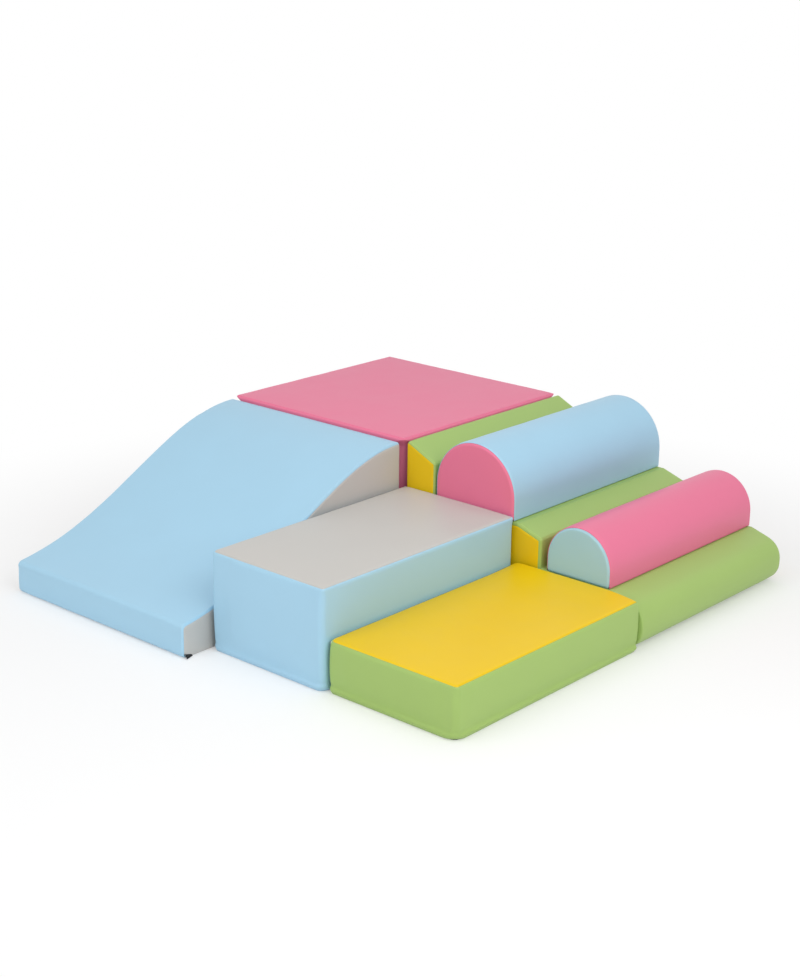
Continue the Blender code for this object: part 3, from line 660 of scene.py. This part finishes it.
def seen_directly(tree):
    """1 for rays from the camera, a glossy surface or a clear one, and 0 for the rest."""
    rays = ("Is Camera Ray", "Is Glossy Ray", "Is Transmission Ray")
    camera, glossy, clear = (add_node(tree, "LightPath", ray) for ray in rays)
    seen = add_node(tree, "Math", 0, {0: camera, 1: glossy}, operation="MAXIMUM")
    return add_node(tree, "Math", 0, {0: seen, 1: clear}, operation="MAXIMUM")


def new_material(name):
    """A material, its tree, its shader, and the place on the object in metres."""
    material = bpy.data.materials.new(name)
    material.use_nodes = True
    tree = material.node_tree
    return material, tree, tree.nodes["Principled BSDF"], add_node(tree, "TexCoord", "Object")


def shade(colour, factor):
    return [min(channel * factor, 1.0) for channel in colour] + [1.0]


def coated_fabric(name, colour, grain):
    """Polyurethane-coated polyester, embossed and wiped: an even satin skin with a fine pebble."""
    material, tree, shader, place = new_material(name)
    clouds = add_node(tree, "TexNoise", "Fac", {"Vector": place, "Scale": 9.0, "Detail": 3.0})
    # The real pebble is about half a millimetre wide, drawn coarser here so that it shows close up
    cells = {"Vector": place, "Scale": 1.0 / grain, "Randomness": 0.9}
    pebble = add_node(tree, "TexVoronoi", "Distance", cells, feature="SMOOTH_F1")
    pores = add_node(tree, "TexNoise", "Fac", {"Vector": place, "Scale": 1400.0, "Detail": 2.0})
    seam = add_node(tree, "Attribute", "Fac", attribute_name="seam")
    # Sewing draws the fabric up into small puckers about a stitch apart, beside each seam
    pucker = add_node(tree, "TexNoise", "Fac", {"Vector": place, "Scale": 130.0, "Detail": 1.0})
    drawn = add_node(tree, "Math", 0, {0: pucker, 1: seam}, operation="MULTIPLY")
    # Towards each seam the colour turns a twentieth lighter: a painted highlight on the rolled edge, with
    # some wear
    seam_highlight_share = add_node(tree, "Math", 0, {0: seam, 1: 4.0}, operation="POWER")
    dull, bright, seam_highlight_and_wear = (shade(colour, factor) for factor in (0.975, 1.02, 1.05))
    tint = add_node(tree, "Mix", "Result", {"Factor": clouds, "A": dull, "B": bright}, data_type="RGBA")
    tint = add_node(tree, "Mix", "Result", {"Factor": seam_highlight_share, "A": tint, "B": seam_highlight_and_wear}, data_type="RGBA")
    rough = add_node(tree, "MapRange", "Result", {"Value": clouds, "To Min": 0.38, "To Max": 0.46})
    normal = add_node(tree, "Bump", "Normal", {"Height": pores, "Strength": 0.05, "Distance": 0.0002})
    pebbled = {"Height": pebble, "Strength": 0.10, "Distance": grain * 0.25, "Normal": normal}
    normal = add_node(tree, "Bump", "Normal", pebbled)
    puckered = {"Height": drawn, "Strength": 0.5, "Distance": 0.0012, "Normal": normal}
    normal = add_node(tree, "Bump", "Normal", puckered)
    feed(tree, shader, {"Base Color": tint, "Roughness": rough, "Normal": normal})
    feed(tree, shader, {"IOR": 1.5, "Specular IOR Level": 0.33})
    return material


def grip_fabric(colour):
    """Polyester knit printed with rows of soft dots, which keep a module from sliding on the floor."""
    material, tree, shader, place = new_material("dotted_grip_fabric")
    dots = add_node(tree, "TexVoronoi", "Distance", {"Vector": place, "Scale": 140.0, "Randomness": 0.0})
    edge = {"Value": dots, "From Min": 0.26, "From Max": 0.34, "To Min": 1.0, "To Max": 0.0}
    raised = add_node(tree, "MapRange", "Result", edge, interpolation_type="SMOOTHSTEP")
    knit = add_node(tree, "TexNoise", "Fac", {"Vector": place, "Scale": 900.0, "Detail": 2.0})
    shades = {"Factor": raised, "A": shade(colour, 1.0), "B": shade(colour, 0.55)}
    tint = add_node(tree, "Mix", "Result", shades, data_type="RGBA")
    rough = add_node(tree, "MapRange", "Result", {"Value": raised, "To Min": 0.85, "To Max": 0.5})
    normal = add_node(tree, "Bump", "Normal", {"Height": knit, "Strength": 0.3, "Distance": 0.0003})
    dotted = {"Height": raised, "Strength": 0.8, "Distance": 0.0006, "Normal": normal}
    normal = add_node(tree, "Bump", "Normal", dotted)
    feed(tree, shader, {"Base Color": tint, "Roughness": rough, "Normal": normal})
    return material


def closed_cell_foam(colour):
    """Expanded polyethylene, sawn from a block: matt, with open cut cells about a millimetre wide."""
    material, tree, shader, place = new_material("closed_cell_foam")
    cells = add_node(tree, "TexVoronoi", "Distance", {"Vector": place, "Scale": 700.0})
    # The cells are drawn a tenth darker at their middles, where the bump sinks them: painted shade in the
    # pits
    shades = {"Factor": cells, "A": shade(colour, 0.9), "B": shade(colour, 1.0)}
    tint = add_node(tree, "Mix", "Result", shades, data_type="RGBA")
    normal = add_node(tree, "Bump", "Normal", {"Height": cells, "Strength": 0.6, "Distance": 0.0005})
    feed(tree, shader, {"Base Color": tint, "Roughness": 0.95, "Normal": normal})
    return material


def napped_tape(name, colour, scale, height, roughness):
    """Woven nylon tape with a raised pile: even rows of hooks, or a brushed mat of loops."""
    material, tree, shader, place = new_material(name)
    pile = add_node(tree, "TexVoronoi", "Distance", {"Vector": place, "Scale": scale})
    fuzz = add_node(tree, "TexNoise", "Fac", {"Vector": place, "Scale": scale * 2.0, "Detail": 3.0})
    shades = {"Factor": pile, "A": shade(colour, 1.8), "B": shade(colour, 0.6)}
    tint = add_node(tree, "Mix", "Result", shades, data_type="RGBA")
    normal = add_node(tree, "Bump", "Normal", {"Height": fuzz, "Strength": 0.5, "Distance": height})
    tufted = {"Height": pile, "Strength": 0.9, "Distance": height, "Normal": normal}
    normal = add_node(tree, "Bump", "Normal", tufted)
    feed(tree, shader, {"Base Color": tint, "Roughness": roughness, "Normal": normal})
    return material


def enamelled_zinc(colour):
    """Die-cast zinc with baked black enamel: smooth and slightly orange-peeled."""
    material, tree, shader, place = new_material("black_enamelled_zinc")
    peel = add_node(tree, "TexNoise", "Fac", {"Vector": place, "Scale": 900.0, "Detail": 1.0})
    shades = {"Factor": peel, "A": shade(colour, 0.8), "B": shade(colour, 1.4)}
    tint = add_node(tree, "Mix", "Result", shades, data_type="RGBA")
    rough = add_node(tree, "MapRange", "Result", {"Value": peel, "To Min": 0.25, "To Max": 0.4})
    normal = add_node(tree, "Bump", "Normal", {"Height": peel, "Strength": 0.2, "Distance": 0.0001})
    feed(tree, shader, {"Base Color": tint, "Roughness": rough, "Normal": normal})
    feed(tree, shader, {"Coat Weight": 0.5, "Coat Roughness": 0.15})
    return material


# Finish of each napped tape or thread: its colour, tufts to the metre, height of the pile and roughness
NAPPED = {
    "nylon_hook_tape": ("tape", 650.0, 0.0006, 0.55),
    "nylon_loop_tape": ("tape", 380.0, 0.0004, 0.95),
    "woven_zip_tape": ("tape", 1100.0, 0.0002, 0.8),
    "bonded_nylon_thread": ("foam", 900.0, 0.0001, 0.5),
}


def finish(name):
    """The finish of that name, made when it is first asked for."""
    if name in bpy.data.materials:
        return bpy.data.materials[name]
    colours = bpy.context.scene.climber_colours
    if name.endswith("_coated_fabric"):
        hue = name.split("_")[0]
        return coated_fabric(name, getattr(colours, hue), bpy.context.scene.climber_sizes.grain)
    if name in NAPPED:
        hue, *pile = NAPPED[name]
        return napped_tape(name, getattr(colours, hue), *pile)
    if name == "dotted_grip_fabric":
        return grip_fabric(colours.base)
    if name == "closed_cell_foam":
        return closed_cell_foam(colours.foam)
    if name == "black_enamelled_zinc":
        return enamelled_zinc(colours.metal)
    raise ValueError("no finish is called " + name)


# Modules


def wall_profile(block, step):
    """Up a side wall, from its foot beside the base to its top seam: (inset, level, bulge share)."""
    profile = [(FOOT_TUCK - HEM_LEVEL, HEM_LEVEL, 0.0)]
    for part in range(FOOT_STEPS + 1):
        angle = part / FOOT_STEPS * math.pi / 2
        level = HEM_LEVEL + (FOOT_ROUND - HEM_LEVEL) * (1 - math.cos(angle))
        profile.append((FOOT_SHOW * (1 - math.sin(angle)), level, 0.0))
    top = block.height - SHOULDER
    levels = [FOLD_LEVEL + FOLD_REACH * share for share in (-0.5, 0.0, 0.5, 1.0)]
    count = max(2, round((top - levels[-1]) / step))
    levels += [levels[-1] + (top - levels[-1]) * part / count for part in range(1, count)]
    for level in levels:
        share = (level - FOOT_ROUND) / (top - FOOT_ROUND)
        profile.append((0.0, level, 4 * share * (1 - share)))
    for part in range(SHOULDER_STEPS + 1):
        angle = part / SHOULDER_STEPS * math.pi / 2
        level = top + (SHOULDER - SEAM_DROP) * math.sin(angle)
        profile.append((SEAM_INSET * (1 - math.cos(angle)), level, 0.0))
    return profile + [(SEAM_INSET + inset, block.height - drop, 0.0) for inset, drop in SEAM_FOLD]


def foot_slack(spot, level, on_corner, open_share):
    """How far a band falls in near its foot: a fold over a long welt, and gathers at the corners."""
    fold = max(1 - ((level - FOLD_LEVEL) / FOLD_REACH) ** 2, 0.0) ** 2
    welt = max(1 - ((level - WELT_LEVEL) / WELT_REACH) ** 2, 0.0) ** 2
    sway = noise.noise(Vector((spot.x, spot.y, 0.0)) * FOLD_SCALE)
    uneven = FOLD_MEAN_SHARE + FOLD_SPREAD_SHARE * sway
    slack = uneven * (FOLD_DEPTH * fold - WELT_DEPTH * welt * open_share)
    if on_corner:
        foot_share = max(1 - level / (2 * FOOT_ROUND), 0.0)
        gather = noise.noise(Vector((spot.x, spot.y, level * RIPPLE_STRETCH_SHARE)) * RIPPLE_SCALE)
        slack += RIPPLE_DEPTH * foot_share * gather
    return slack


def make_block_cover(name, block, free_sides, top_hue, side_hue, step):
    """A block's top panel and side band."""
    outline = [spot for spot, out in block.ring(SEAM_INSET + SEAM_GAP, block.height)[:-1]]
    top = cut_panel(outline, TOP_SINK, step)
    mark_held(top, lambda spot: spot.z < -WELD)
    mark_give(top, lambda spot: 1.0)
    for vert in top.verts:
        vert.co.z += CROWN * block.crown_share(vert.co) + block.rise(vert.co.x, vert.co.y)
    place = Matrix.Translation((0, 0, block.height))
    top_panel = add_cover(name + "_top_cover", top, top_hue, name, name + "_top_panel", place)

    profile = wall_profile(block, step)
    rings = [block.ring(inset, level, SIDE_BULGE * share) for inset, level, share in profile]

    def lay(column, row):
        spot, out = rings[row][column]
        level = profile[row][1]
        on_corner = min(abs(out.x), abs(out.y)) > WELD
        point = spot - out * foot_slack(spot, level, on_corner, block.open_share(out))
        rise = block.rise(point.x, point.y) * (level / block.height) ** 2
        return Vector((point.x, point.y, level + rise))

    def held(spot):
        low = spot.z < FOLD_TOP
        return low or spot.z > block.height - SHOULDER + WELD or len(block.sides_near(spot)) > 1

    def give(spot):
        shares = [free_sides.get(side, LEANT_ON_SHARE) for side in block.sides_near(spot)]
        return max(shares, default=LEANT_ON_SHARE)

    band = laid_grid(len(rings[0]) - 1, len(profile) - 1, lay)
    mark_held(band, held)
    mark_give(band, give)
    return [top_panel, add_cover(name + "_side_cover", band, side_hue, name, name + "_side_band")]


def across_section(width, roll, step):
    """Across a deck: (across, drop) with both edges rolled down and turned into their seams."""
    rolled = [(across, roll + drop) for across, drop in EDGE_TURN]
    for part in range(EDGE_STEPS + 1):
        angle = part / EDGE_STEPS * math.pi / 2
        rolled.append((roll * (1 - math.cos(angle)), roll * (1 - math.sin(angle))))
    flat = width - 2 * roll
    count = max(2, round(flat / step))
    middle = [(roll + flat * part / count, 0.0) for part in range(1, count)]
    return rolled + middle + [(width - across, drop) for across, drop in rolled[::-1]]


def make_strip(name, path, stops, lift, held, give, hue, body, node, place):
    """A cover laid along a path, at stops across it, and as far out of the path as its lift says."""

    def lay(column, row):
        spot, out = path[column]
        across, drop = stops[row]
        point = spot + out * lift(spot, out, across, drop)
        return Vector((point.x, across, point.y))

    strip = laid_grid(len(path) - 1, len(stops) - 1, lay)
    mark_held(strip, held)
    mark_give(strip, give)
    return add_cover(name, strip, hue, body, node, place)


def make_side(body, part, outline, sink, far, width, give, hue, place, step):
    """A flat side of a wedge or end of a bump, which looks the other way at the far side."""
    side = cut_panel(outline, sink, step)
    mark_held(side, lambda spot: spot.z < -WELD)
    mark_give(side, lambda spot: give)
    for vert in side.verts:
        vert.co = (vert.co.x, width + vert.co.z if far else -vert.co.z, vert.co.y)
    if far:
        bmesh.ops.reverse_faces(side, faces=side.faces)
    label = body + "_" + part
    return add_cover(label + "_cover", side, hue, body, label + "_panel", place)


def slide_place():
    low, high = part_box("slide_base_panel")
    corner = (low.x - SKIN - GAP, high.y, 0.0)
    return Matrix.Translation(corner) @ Matrix.Rotation(-math.pi / 2, 4, "Z")


def ramp_place():
    low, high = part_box("ramp_base_panel")
    return Matrix.Translation((low.x, low.y - SKIN - GAP, 0.0))


def slide_give(spot):
    """Little at the back hem, which lies against the platform."""
    return 1.0 if spot.x > BACK_HEM else 0.2


def ramp_give(spot):
    """None on the treads and their walls, where the bumps lie."""
    for wall, end in ((LARGE_WALL, LARGE_TREAD_END), (SMALL_WALL, SMALL_TREAD_END)):
        if wall - TREAD_MARGIN < spot.x < end:
            return 0.0
    return 0.6


def make_wedge_cover(name, place, corners, size, foot_round, lap, crown, deck_give, hues, sides, step):
    """The deck of the slide or the ramp, rolled down over its two flat sides."""
    length, width = size
    top = corners[1][1] - (EDGE_ROLL + GAP) * lap(0.0)
    closing = [(length - foot_round, HEM_LEVEL), (0.0, HEM_LEVEL), (0.0, top)]
    outline = side_outline(corners, lap, closing)
    path = evenly(rounded_path(corners), step)
    stops = across_section(width, EDGE_ROLL, step)
    reach = max(spot.x for spot, out in path)
    deck_hue, side_hue = hues

    def lift(spot, out, across, drop):
        along_share = max(math.sin(math.pi * spot.x / reach), 0.0) ** 0.5 * max(out.y, 0.0)
        across_share = 1 - abs(2 * across / width - 1) ** CROWN_POWER
        return crown * along_share * across_share - drop * lap(spot.x)

    def held(spot):
        return min(spot.y, width - spot.y) < 2 * EDGE_ROLL / 3

    deck = name + "_deck_cover"
    node = name + "_deck_panel"
    pieces = [make_strip(deck, path, stops, lift, held, deck_give, deck_hue, name, node, place)]
    for far, (side, give) in zip((False, True), sides.items()):
        part = side + "_side"
        pieces.append(make_side(name, part, outline, SIDE_SINK, far, width, give, side_hue, place, step))
    return pieces


def make_bump_cover(name, width, height, hue, end_hue, step):
    """A bump's arched cover and its two ends, whose rims stand proud of it."""
    low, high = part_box(name + "_base_panel")
    place = Matrix.Translation((low.x - SKIN - GAP, low.y - EDGE_ROLL, low.z - FASTENER_GAP))
    length = high.y - low.y + 2 * EDGE_ROLL
    path = evenly(rounded_path(bump_corners(width, height), ARCH_STEPS), step)
    outline = [spot - out * (BUMP_EDGE_ROLL + GAP) for spot, out in path]
    outline[0].y = outline[-1].y = GAP
    section = across_section(length - 2 * END_PROUD, BUMP_EDGE_ROLL, step)
    stops = [(END_PROUD + across, drop) for across, drop in section]

    def lift(spot, out, across, drop):
        return -drop

    def held(spot):
        return min(spot.y, length - spot.y) < END_PROUD + BUMP_EDGE_ROLL

    def give(spot):
        return min(max((spot.z - BUMP_HELD_LEVEL) / BUMP_FREE_REACH, BUMP_LEAST_GIVE), 1.0)

    arch = name + "_arched_cover"
    node = name + "_round_cover"
    pieces = [make_strip(arch, path, stops, lift, held, give, hue, name, node, place)]
    for far, part in ((False, "near_end"), (True, "far_end")):
        pieces.append(make_side(name, part, outline, END_SINK, far, length, 1.0, end_hue, place, step))
    return pieces


def cad_copy(node):
    """A merged copy of a CAD node's mesh, with its flat faces made whole."""
    bm = bmesh.new()
    bm.from_mesh(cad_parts[node].data)
    bmesh.ops.remove_doubles(bm, verts=bm.verts, dist=WELD)
    bmesh.ops.dissolve_limit(bm, angle_limit=math.radians(1), verts=bm.verts, edges=bm.edges)
    return bm


def bevel_edges(bm, edges, width, segments):
    bmesh.ops.bevel(
        bm,
        geom=edges,
        offset=width,
        affect="EDGES",
        segments=segments,
        profile=0.5,
        material=-1,
        clamp_overlap=True,
    )


def bevelled(bm, width, segments):
    """Rounds the edges of a solid that turn by more than thirty degrees."""
    turned = math.radians(30)
    sharp = [edge for edge in bm.edges if edge.is_manifold and edge.calc_face_angle() > turned]
    bevel_edges(bm, sharp, width, segments)
    return bm


# Name, height, radius of each corner half way up and at the top, how far it widens at the foot (all from
# the back right, counter-clockwise), rise of the back edge, sides that bulge, how freely each side swells,
# and the colours of the top and the sides
BLOCKS = (
    (
        "platform",
        PLATFORM_HEIGHT,
        (PLATFORM_CORNER_ROUND,) * 4,
        (0.007, 0.007, 0.009, 0.007),
        (-0.015, -0.015, -0.015, -0.015),
        0.0,
        "lb",
        {"l": 1.0, "b": 1.0},
        ("pink", "pink"),
    ),
    (
        "high_step",
        HIGH_STEP_HEIGHT,
        (CORNER_ROUND,) * 4,
        (0.007, 0.007, 0.013, 0.009),
        (0.005, 0.005, 0.0, 0.013),
        HIGH_STEP_RISE,
        "f",
        {"f": 1.0, "r": 0.35, "l": 0.6},
        ("grey", "blue"),
    ),
    (
        "low_step",
        LOW_STEP_HEIGHT,
        (0.0068, CORNER_ROUND, CORNER_ROUND, CORNER_ROUND),
        (0.0068, 0.009, 0.017, 0.010),
        (0.003, 0.003, -0.003, 0.024),
        LOW_STEP_RISE,
        "rf",
        {"f": 1.0, "r": 1.0},
        ("yellow", "green"),
    ),
)
MODULES = ("platform", "slide", "ramp", "high_step", "low_step", "large_bump", "small_bump")
ZIPPED = MODULES[:5]
MATES = {
    "slide": "platform",
    "ramp": "platform",
    "high_step": "ramp",
    "low_step": "high_step",
    "large_bump": "ramp",
    "small_bump": "ramp",
}


def stitched_row(bm, start, end, out, length):
    """Adds a row of stitches: one bar with its long edges rounded, doubled until the row is full."""
    run = end - start
    along = run.normalized()
    across = out.cross(along)
    pitch = length * STITCH_PITCH_SHARE
    count = max(1, int(run.length / pitch))
    spare = (run.length - count * pitch + pitch - length) / 2
    middle = start + along * (spare + length / 2) + out * (STITCH_PROUD - STITCH_HEIGHT / 2)
    turned = Matrix((along, across, out)).transposed().to_4x4()
    row = bmesh.new()
    bmesh.ops.create_cube(row, size=1.0)
    bmesh.ops.scale(row, vec=(length, STITCH_WIDTH, STITCH_HEIGHT), verts=row.verts)
    upper = [edge for edge in row.edges if min(vert.co.z for vert in edge.verts) > 0]
    bevel_edges(row, upper, STITCH_HEIGHT / 3, 1)
    bmesh.ops.transform(row, matrix=Matrix.Translation(middle) @ turned, verts=row.verts)
    faces_each = len(row.faces)
    made = 1
    while made < count:
        more = min(made, count - made)
        row.faces.ensure_lookup_table()
        faces = row.faces[: more * faces_each]
        edges = list(dict.fromkeys(edge for face in faces for edge in face.edges))
        verts = list(dict.fromkeys(vert for face in faces for vert in face.verts))
        grown = bmesh.ops.duplicate(row, geom=verts + edges + faces)["geom"]
        fresh = [item for item in grown if isinstance(item, bmesh.types.BMVert)]
        bmesh.ops.translate(row, verts=fresh, vec=along * pitch * made)
        made += more
    mesh = bpy.data.meshes.new("row")
    row.to_mesh(mesh)
    row.free()
    bm.from_mesh(mesh)
    bpy.data.meshes.remove(mesh)


def stitched_sheet(bm, low, high, axis, out, corner, length):
    """Adds stitches along the four edges of a flat sheet whose face looks along an axis."""
    level = high[axis] if out > 0 else low[axis]
    first, second = [index for index in range(3) if index != axis]
    normal = Vector((0, 0, 0))
    normal[axis] = out
    for run, side in ((first, second), (second, first)):
        for edge in (low[side] + STITCH_MARGIN / 2, high[side] - STITCH_MARGIN / 2):
            start = Vector((0, 0, 0))
            start[axis] = level
            start[side] = edge
            end = start.copy()
            start[run] = low[run] + corner
            end[run] = high[run] - corner
            stitched_row(bm, start, end, normal, length)


class CLIMBER_OT_covers(bpy.types.Operator):
    """Sew and swell the padded covers of all seven modules"""

    bl_idname = "climber.covers"
    bl_label = "Padded covers"

    def execute(self, context):
        sizes = context.scene.climber_sizes
        step = sizes.grid
        pieces = []
        for name, height, corners, tops, widenings, back_rise, bulging, free_sides, hues in BLOCKS:
            block = Block(name, height, corners, tops, widenings, back_rise, bulging, step)
            pieces += make_block_cover(name, block, free_sides, *hues, step)
        pieces += make_wedge_cover(
            "slide",
            slide_place(),
            slide_corners(),
            (SLIDE_LENGTH, SLIDE_WIDTH),
            SLIDE_FOOT_ROUND,
            lap=no_lap,
            crown=CROWN,
            deck_give=slide_give,
            hues=("blue", "grey"),
            sides={"left": 1.0, "right": 0.6},
            step=step,
        )
        pieces += make_wedge_cover(
            "ramp",
            ramp_place(),
            ramp_corners(),
            (RAMP_LENGTH, RAMP_WIDTH),
            RAMP_FOOT_ROUND,
            lap=ramp_lap,
            crown=0.0,
            deck_give=ramp_give,
            hues=("green", "yellow"),
            sides={"near": 0.25, "far": 1.0},
            step=step,
        )
        pieces += make_bump_cover("large_bump", *LARGE_BUMP, "blue", "pink", step)
        pieces += make_bump_cover("small_bump", *SMALL_BUMP, "pink", "aqua", step)
        swell(pieces, sizes)
        for piece in pieces:
            mark_seams(piece.data)
            thicken(piece, SKIN, -1.0)
        return {"FINISHED"}


class CLIMBER_OT_foam(bpy.types.Operator):
    """Cut the foam block inside each cover"""

    bl_idname = "climber.foam"
    bl_label = "Foam blocks"

    def execute(self, context):
        for name in MODULES:
            core = name + "_foam_core"
            bm = bevelled(cad_copy(core), FOAM_BEVEL, 2)
            piece = add_piece(name + "_foam_block", bm, "closed_cell_foam", name, "foam", core)
        return {"FINISHED"}


class CLIMBER_OT_bases(bpy.types.Operator):
    """Lay the dotted grip fabric under each module"""

    bl_idname = "climber.bases"
    bl_label = "Grip bases"

    def execute(self, context):
        stitch = context.scene.climber_sizes.stitch
        for name in MODULES:
            panel = name + "_base_panel"
            bm = cad_copy(panel)
            low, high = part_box(panel)
            for vert in bm.verts:
                vert.co.z = max(vert.co.z, low.z + BASE_LIFT)
            bevelled(bm, BASE_BEVEL, 2)
            add_piece(name + "_grip_base", bm, "dotted_grip_fabric", name, "grip_base", panel)
            sewn = bmesh.new()
            under = Vector((low.x, low.y, low.z + BASE_LIFT))
            stitched_sheet(sewn, under, high, 2, -1, BASE_CORNER, stitch)
            if name in ZIPPED:
                zip_low, zip_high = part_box(name + "_zip")
                zip_low.z = under.z
                stitched_sheet(sewn, zip_low, zip_high, 2, -1, STITCH_MARGIN, stitch)
            add_piece(name + "_base_stitches", sewn, "bonded_nylon_thread", name, "grip_base")
        return {"FINISHED"}


class CLIMBER_OT_tapes(bpy.types.Operator):
    """Sew on the hook and loop tapes that hold the modules together"""

    bl_idname = "climber.tapes"
    bl_label = "Hook and loop tapes"

    def execute(self, context):
        stitch = context.scene.climber_sizes.stitch
        for child, parent in MATES.items():
            loop = parent + "_loop_tape_for_" + child
            hook = child + "_hook_tape"
            for node, mate, body, kind in ((loop, hook, parent, "loop"), (hook, loop, child, "hook")):
                bm = bevelled(cad_copy(node), TAPE_BEVEL, 2)
                add_piece(node + "_strip", bm, "nylon_" + kind + "_tape", body, "fastener_tape", node)
                low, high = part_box(node)
                size = high - low
                axis = min(range(3), key=lambda index: size[index])
                out = 1 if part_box(mate)[0][axis] > low[axis] else -1
                sewn = bmesh.new()
                stitched_sheet(sewn, low, high, axis, out, STITCH_MARGIN, stitch)
                add_piece(node + "_stitches", sewn, "bonded_nylon_thread", body, "fastener_tape")
        return {"FINISHED"}


class CLIMBER_OT_zips(bpy.types.Operator):
    """Set the zip, its slider and its pull in each base"""

    bl_idname = "climber.zips"
    bl_label = "Zips"

    def execute(self, context):
        for name in ZIPPED:
            node = name + "_zip"
            bm = bevelled(cad_copy(node), CHAIN_BEVEL, 1)
            add_piece(node + "_chain", bm, "woven_zip_tape", name, "zip_chain", node)
            for part in ("_slider", "_pull"):
                bm = bevelled(cad_copy(node + part), METAL_BEVEL, 2)
                piece = name + "_enamelled" + part
                add_piece(piece, bm, "black_enamelled_zinc", name + part, "zip_metal", node + part)
        self.make_tail()
        return {"FINISHED"}

    def make_tail(self):
        """The end of the zip's tape, which comes out of the seam and lies against the slide's nose."""
        columns, rows = TAIL_GRID
        least, most = TAIL_ARCH

        def lay(column, row):
            run = column / columns
            side = row / rows
            root = TAIL_ROOT[0].lerp(TAIL_ROOT[1], side)
            spot = root.lerp(TAIL_END[0].lerp(TAIL_END[1], side), run)
            rise = (least + (most - least) * side) * math.sin(math.pi * run**0.7)
            return Vector((spot.x, spot.y, 2 * TAIL_THICKNESS + rise))

        bm = laid_grid(columns, rows, lay)
        tail = add_piece("slide_zip_tape_tail", bm, "woven_zip_tape", "slide", "zip_chain")
        thicken(tail, TAIL_THICKNESS, 0.0)


class CLIMBER_OT_stage(bpy.types.Operator):
    """Set the camera, the lamps and the pale floor"""

    bl_idname = "climber.stage"
    bl_label = "Studio stage"

    def execute(self, context):
        scene = context.scene
        scene.view_settings.view_transform = "Standard"
        self.make_camera(scene)
        self.make_floor(scene.climber_colours)
        self.make_lamps(scene)
        return {"FINISHED"}

    def make_camera(self, scene):
        data = bpy.data.cameras.new("photo_camera")
        data.sensor_width = 36.0
        data.lens = CAMERA_LENS
        data.dof.use_dof = False
        camera = bpy.data.objects.new("photo_camera", data)
        scene.collection.objects.link(camera)
        flat = math.cos(CAMERA_ELEVATION)
        across = flat * math.sin(CAMERA_AZIMUTH)
        back = Vector((across, -flat * math.cos(CAMERA_AZIMUTH), math.sin(CAMERA_ELEVATION)))
        right = Vector((0, 0, 1)).cross(back).normalized()
        up = back.cross(right)
        turned = Matrix((right, up, back)).transposed().to_4x4() @ Matrix.Rotation(CAMERA_ROLL, 4, "Z")
        camera.matrix_world = Matrix.Translation(CAMERA_PLACE) @ turned
        scene.camera = camera

    def make_floor(self, colours):
        """A matt floor that shows white away from the object and keeps its shadow beside it."""
        bm = bmesh.new()
        bmesh.ops.create_circle(bm, cap_ends=True, segments=96, radius=FLOOR_RADIUS)
        material, tree, shader, place = new_material("matt_studio_floor")
        apart = {0: place, 1: SHADOW_CENTRE}
        reach = add_node(tree, "VectorMath", "Value", apart, operation="DISTANCE")
        limits = {"Value": reach, "From Min": 0.75, "From Max": 1.9, "To Min": 0.28, "To Max": 1.0}
        fade = add_node(tree, "MapRange", "Result", limits, interpolation_type="SMOOTHSTEP")
        mottle = add_node(tree, "TexNoise", "Fac", {"Vector": place, "Scale": 2.0, "Detail": 2.0})
        shades = {"Factor": mottle, "A": shade(colours.floor, 0.995), "B": shade(colours.floor, 1.0)}
        tint = add_node(tree, "Mix", "Result", shades, data_type="RGBA")
        feed(tree, shader, {"Base Color": tint, "Roughness": 0.9, "Specular IOR Level": 0.1})
        share = add_node(tree, "Math", 0, {0: seen_directly(tree), 1: fade}, operation="MULTIPLY")
        white = add_node(tree, "Emission", "Emission", {"Color": WHITE, "Strength": 1.0})
        parts = {0: share, 1: shader.outputs["BSDF"], 2: white}
        surface = add_node(tree, "MixShader", "Shader", parts)
        feed(tree, tree.nodes["Material Output"], {"Surface": surface})
        floor = new_piece("studio_floor", bm, material)

    def make_lamps(self, scene):
        world = bpy.data.worlds.new("soft_studio")
        world.use_nodes = True
        scene.world = world
        tree = world.node_tree
        limits = {"Value": seen_directly(tree), "To Min": WORLD_STRENGTH, "To Max": 1.0}
        strength = add_node(tree, "MapRange", "Result", limits)
        feed(tree, tree.nodes["Background"], {"Color": WHITE, "Strength": strength})
        for name, place, size, power in LAMPS:
            data = bpy.data.lights.new(name, "AREA")
            data.shape = "SQUARE"
            data.size = size
            data.energy = power
            lamp = bpy.data.objects.new(name, data)
            lamp.location = place
            lamp.rotation_euler = (LAMP_AIM - Vector(place)).to_track_quat("-Z", "Y").to_euler()
            scene.collection.objects.link(lamp)


STEPS = (
    CLIMBER_OT_stage,
    CLIMBER_OT_covers,
    CLIMBER_OT_foam,
    CLIMBER_OT_bases,
    CLIMBER_OT_tapes,
    CLIMBER_OT_zips,
)


class CLIMBER_PT_panel(bpy.types.Panel):
    """Lists the climber's sizes, colours and steps"""

    bl_idname = "CLIMBER_PT_panel"
    bl_label = "Soft Play Climber"
    bl_space_type = "VIEW_3D"
    bl_region_type = "UI"
    bl_category = "Climber"

    def draw(self, context):
        column = self.layout.column()
        for group in (context.scene.climber_sizes, context.scene.climber_colours):
            for key in group.bl_rna.properties.keys():
                if key not in ("rna_type", "name"):
                    column.prop(group, key)
        for step in STEPS:
            column.operator(step.bl_idname)


CLASSES = (ClimberColours, ClimberSizes, *STEPS, CLIMBER_PT_panel)


def register():
    for item in CLASSES:
        bpy.utils.register_class(item)
    bpy.types.Scene.climber_colours = PointerProperty(type=ClimberColours)
    bpy.types.Scene.climber_sizes = PointerProperty(type=ClimberSizes)


def unregister():
    del bpy.types.Scene.climber_sizes
    del bpy.types.Scene.climber_colours
    for item in reversed(CLASSES):
        bpy.utils.unregister_class(item)


def main():
    register()
    bpy.ops.climber.stage()
    bpy.ops.climber.covers()
    bpy.ops.climber.foam()
    bpy.ops.climber.bases()
    bpy.ops.climber.tapes()
    bpy.ops.climber.zips()


if __name__ == "__main__":
    main()
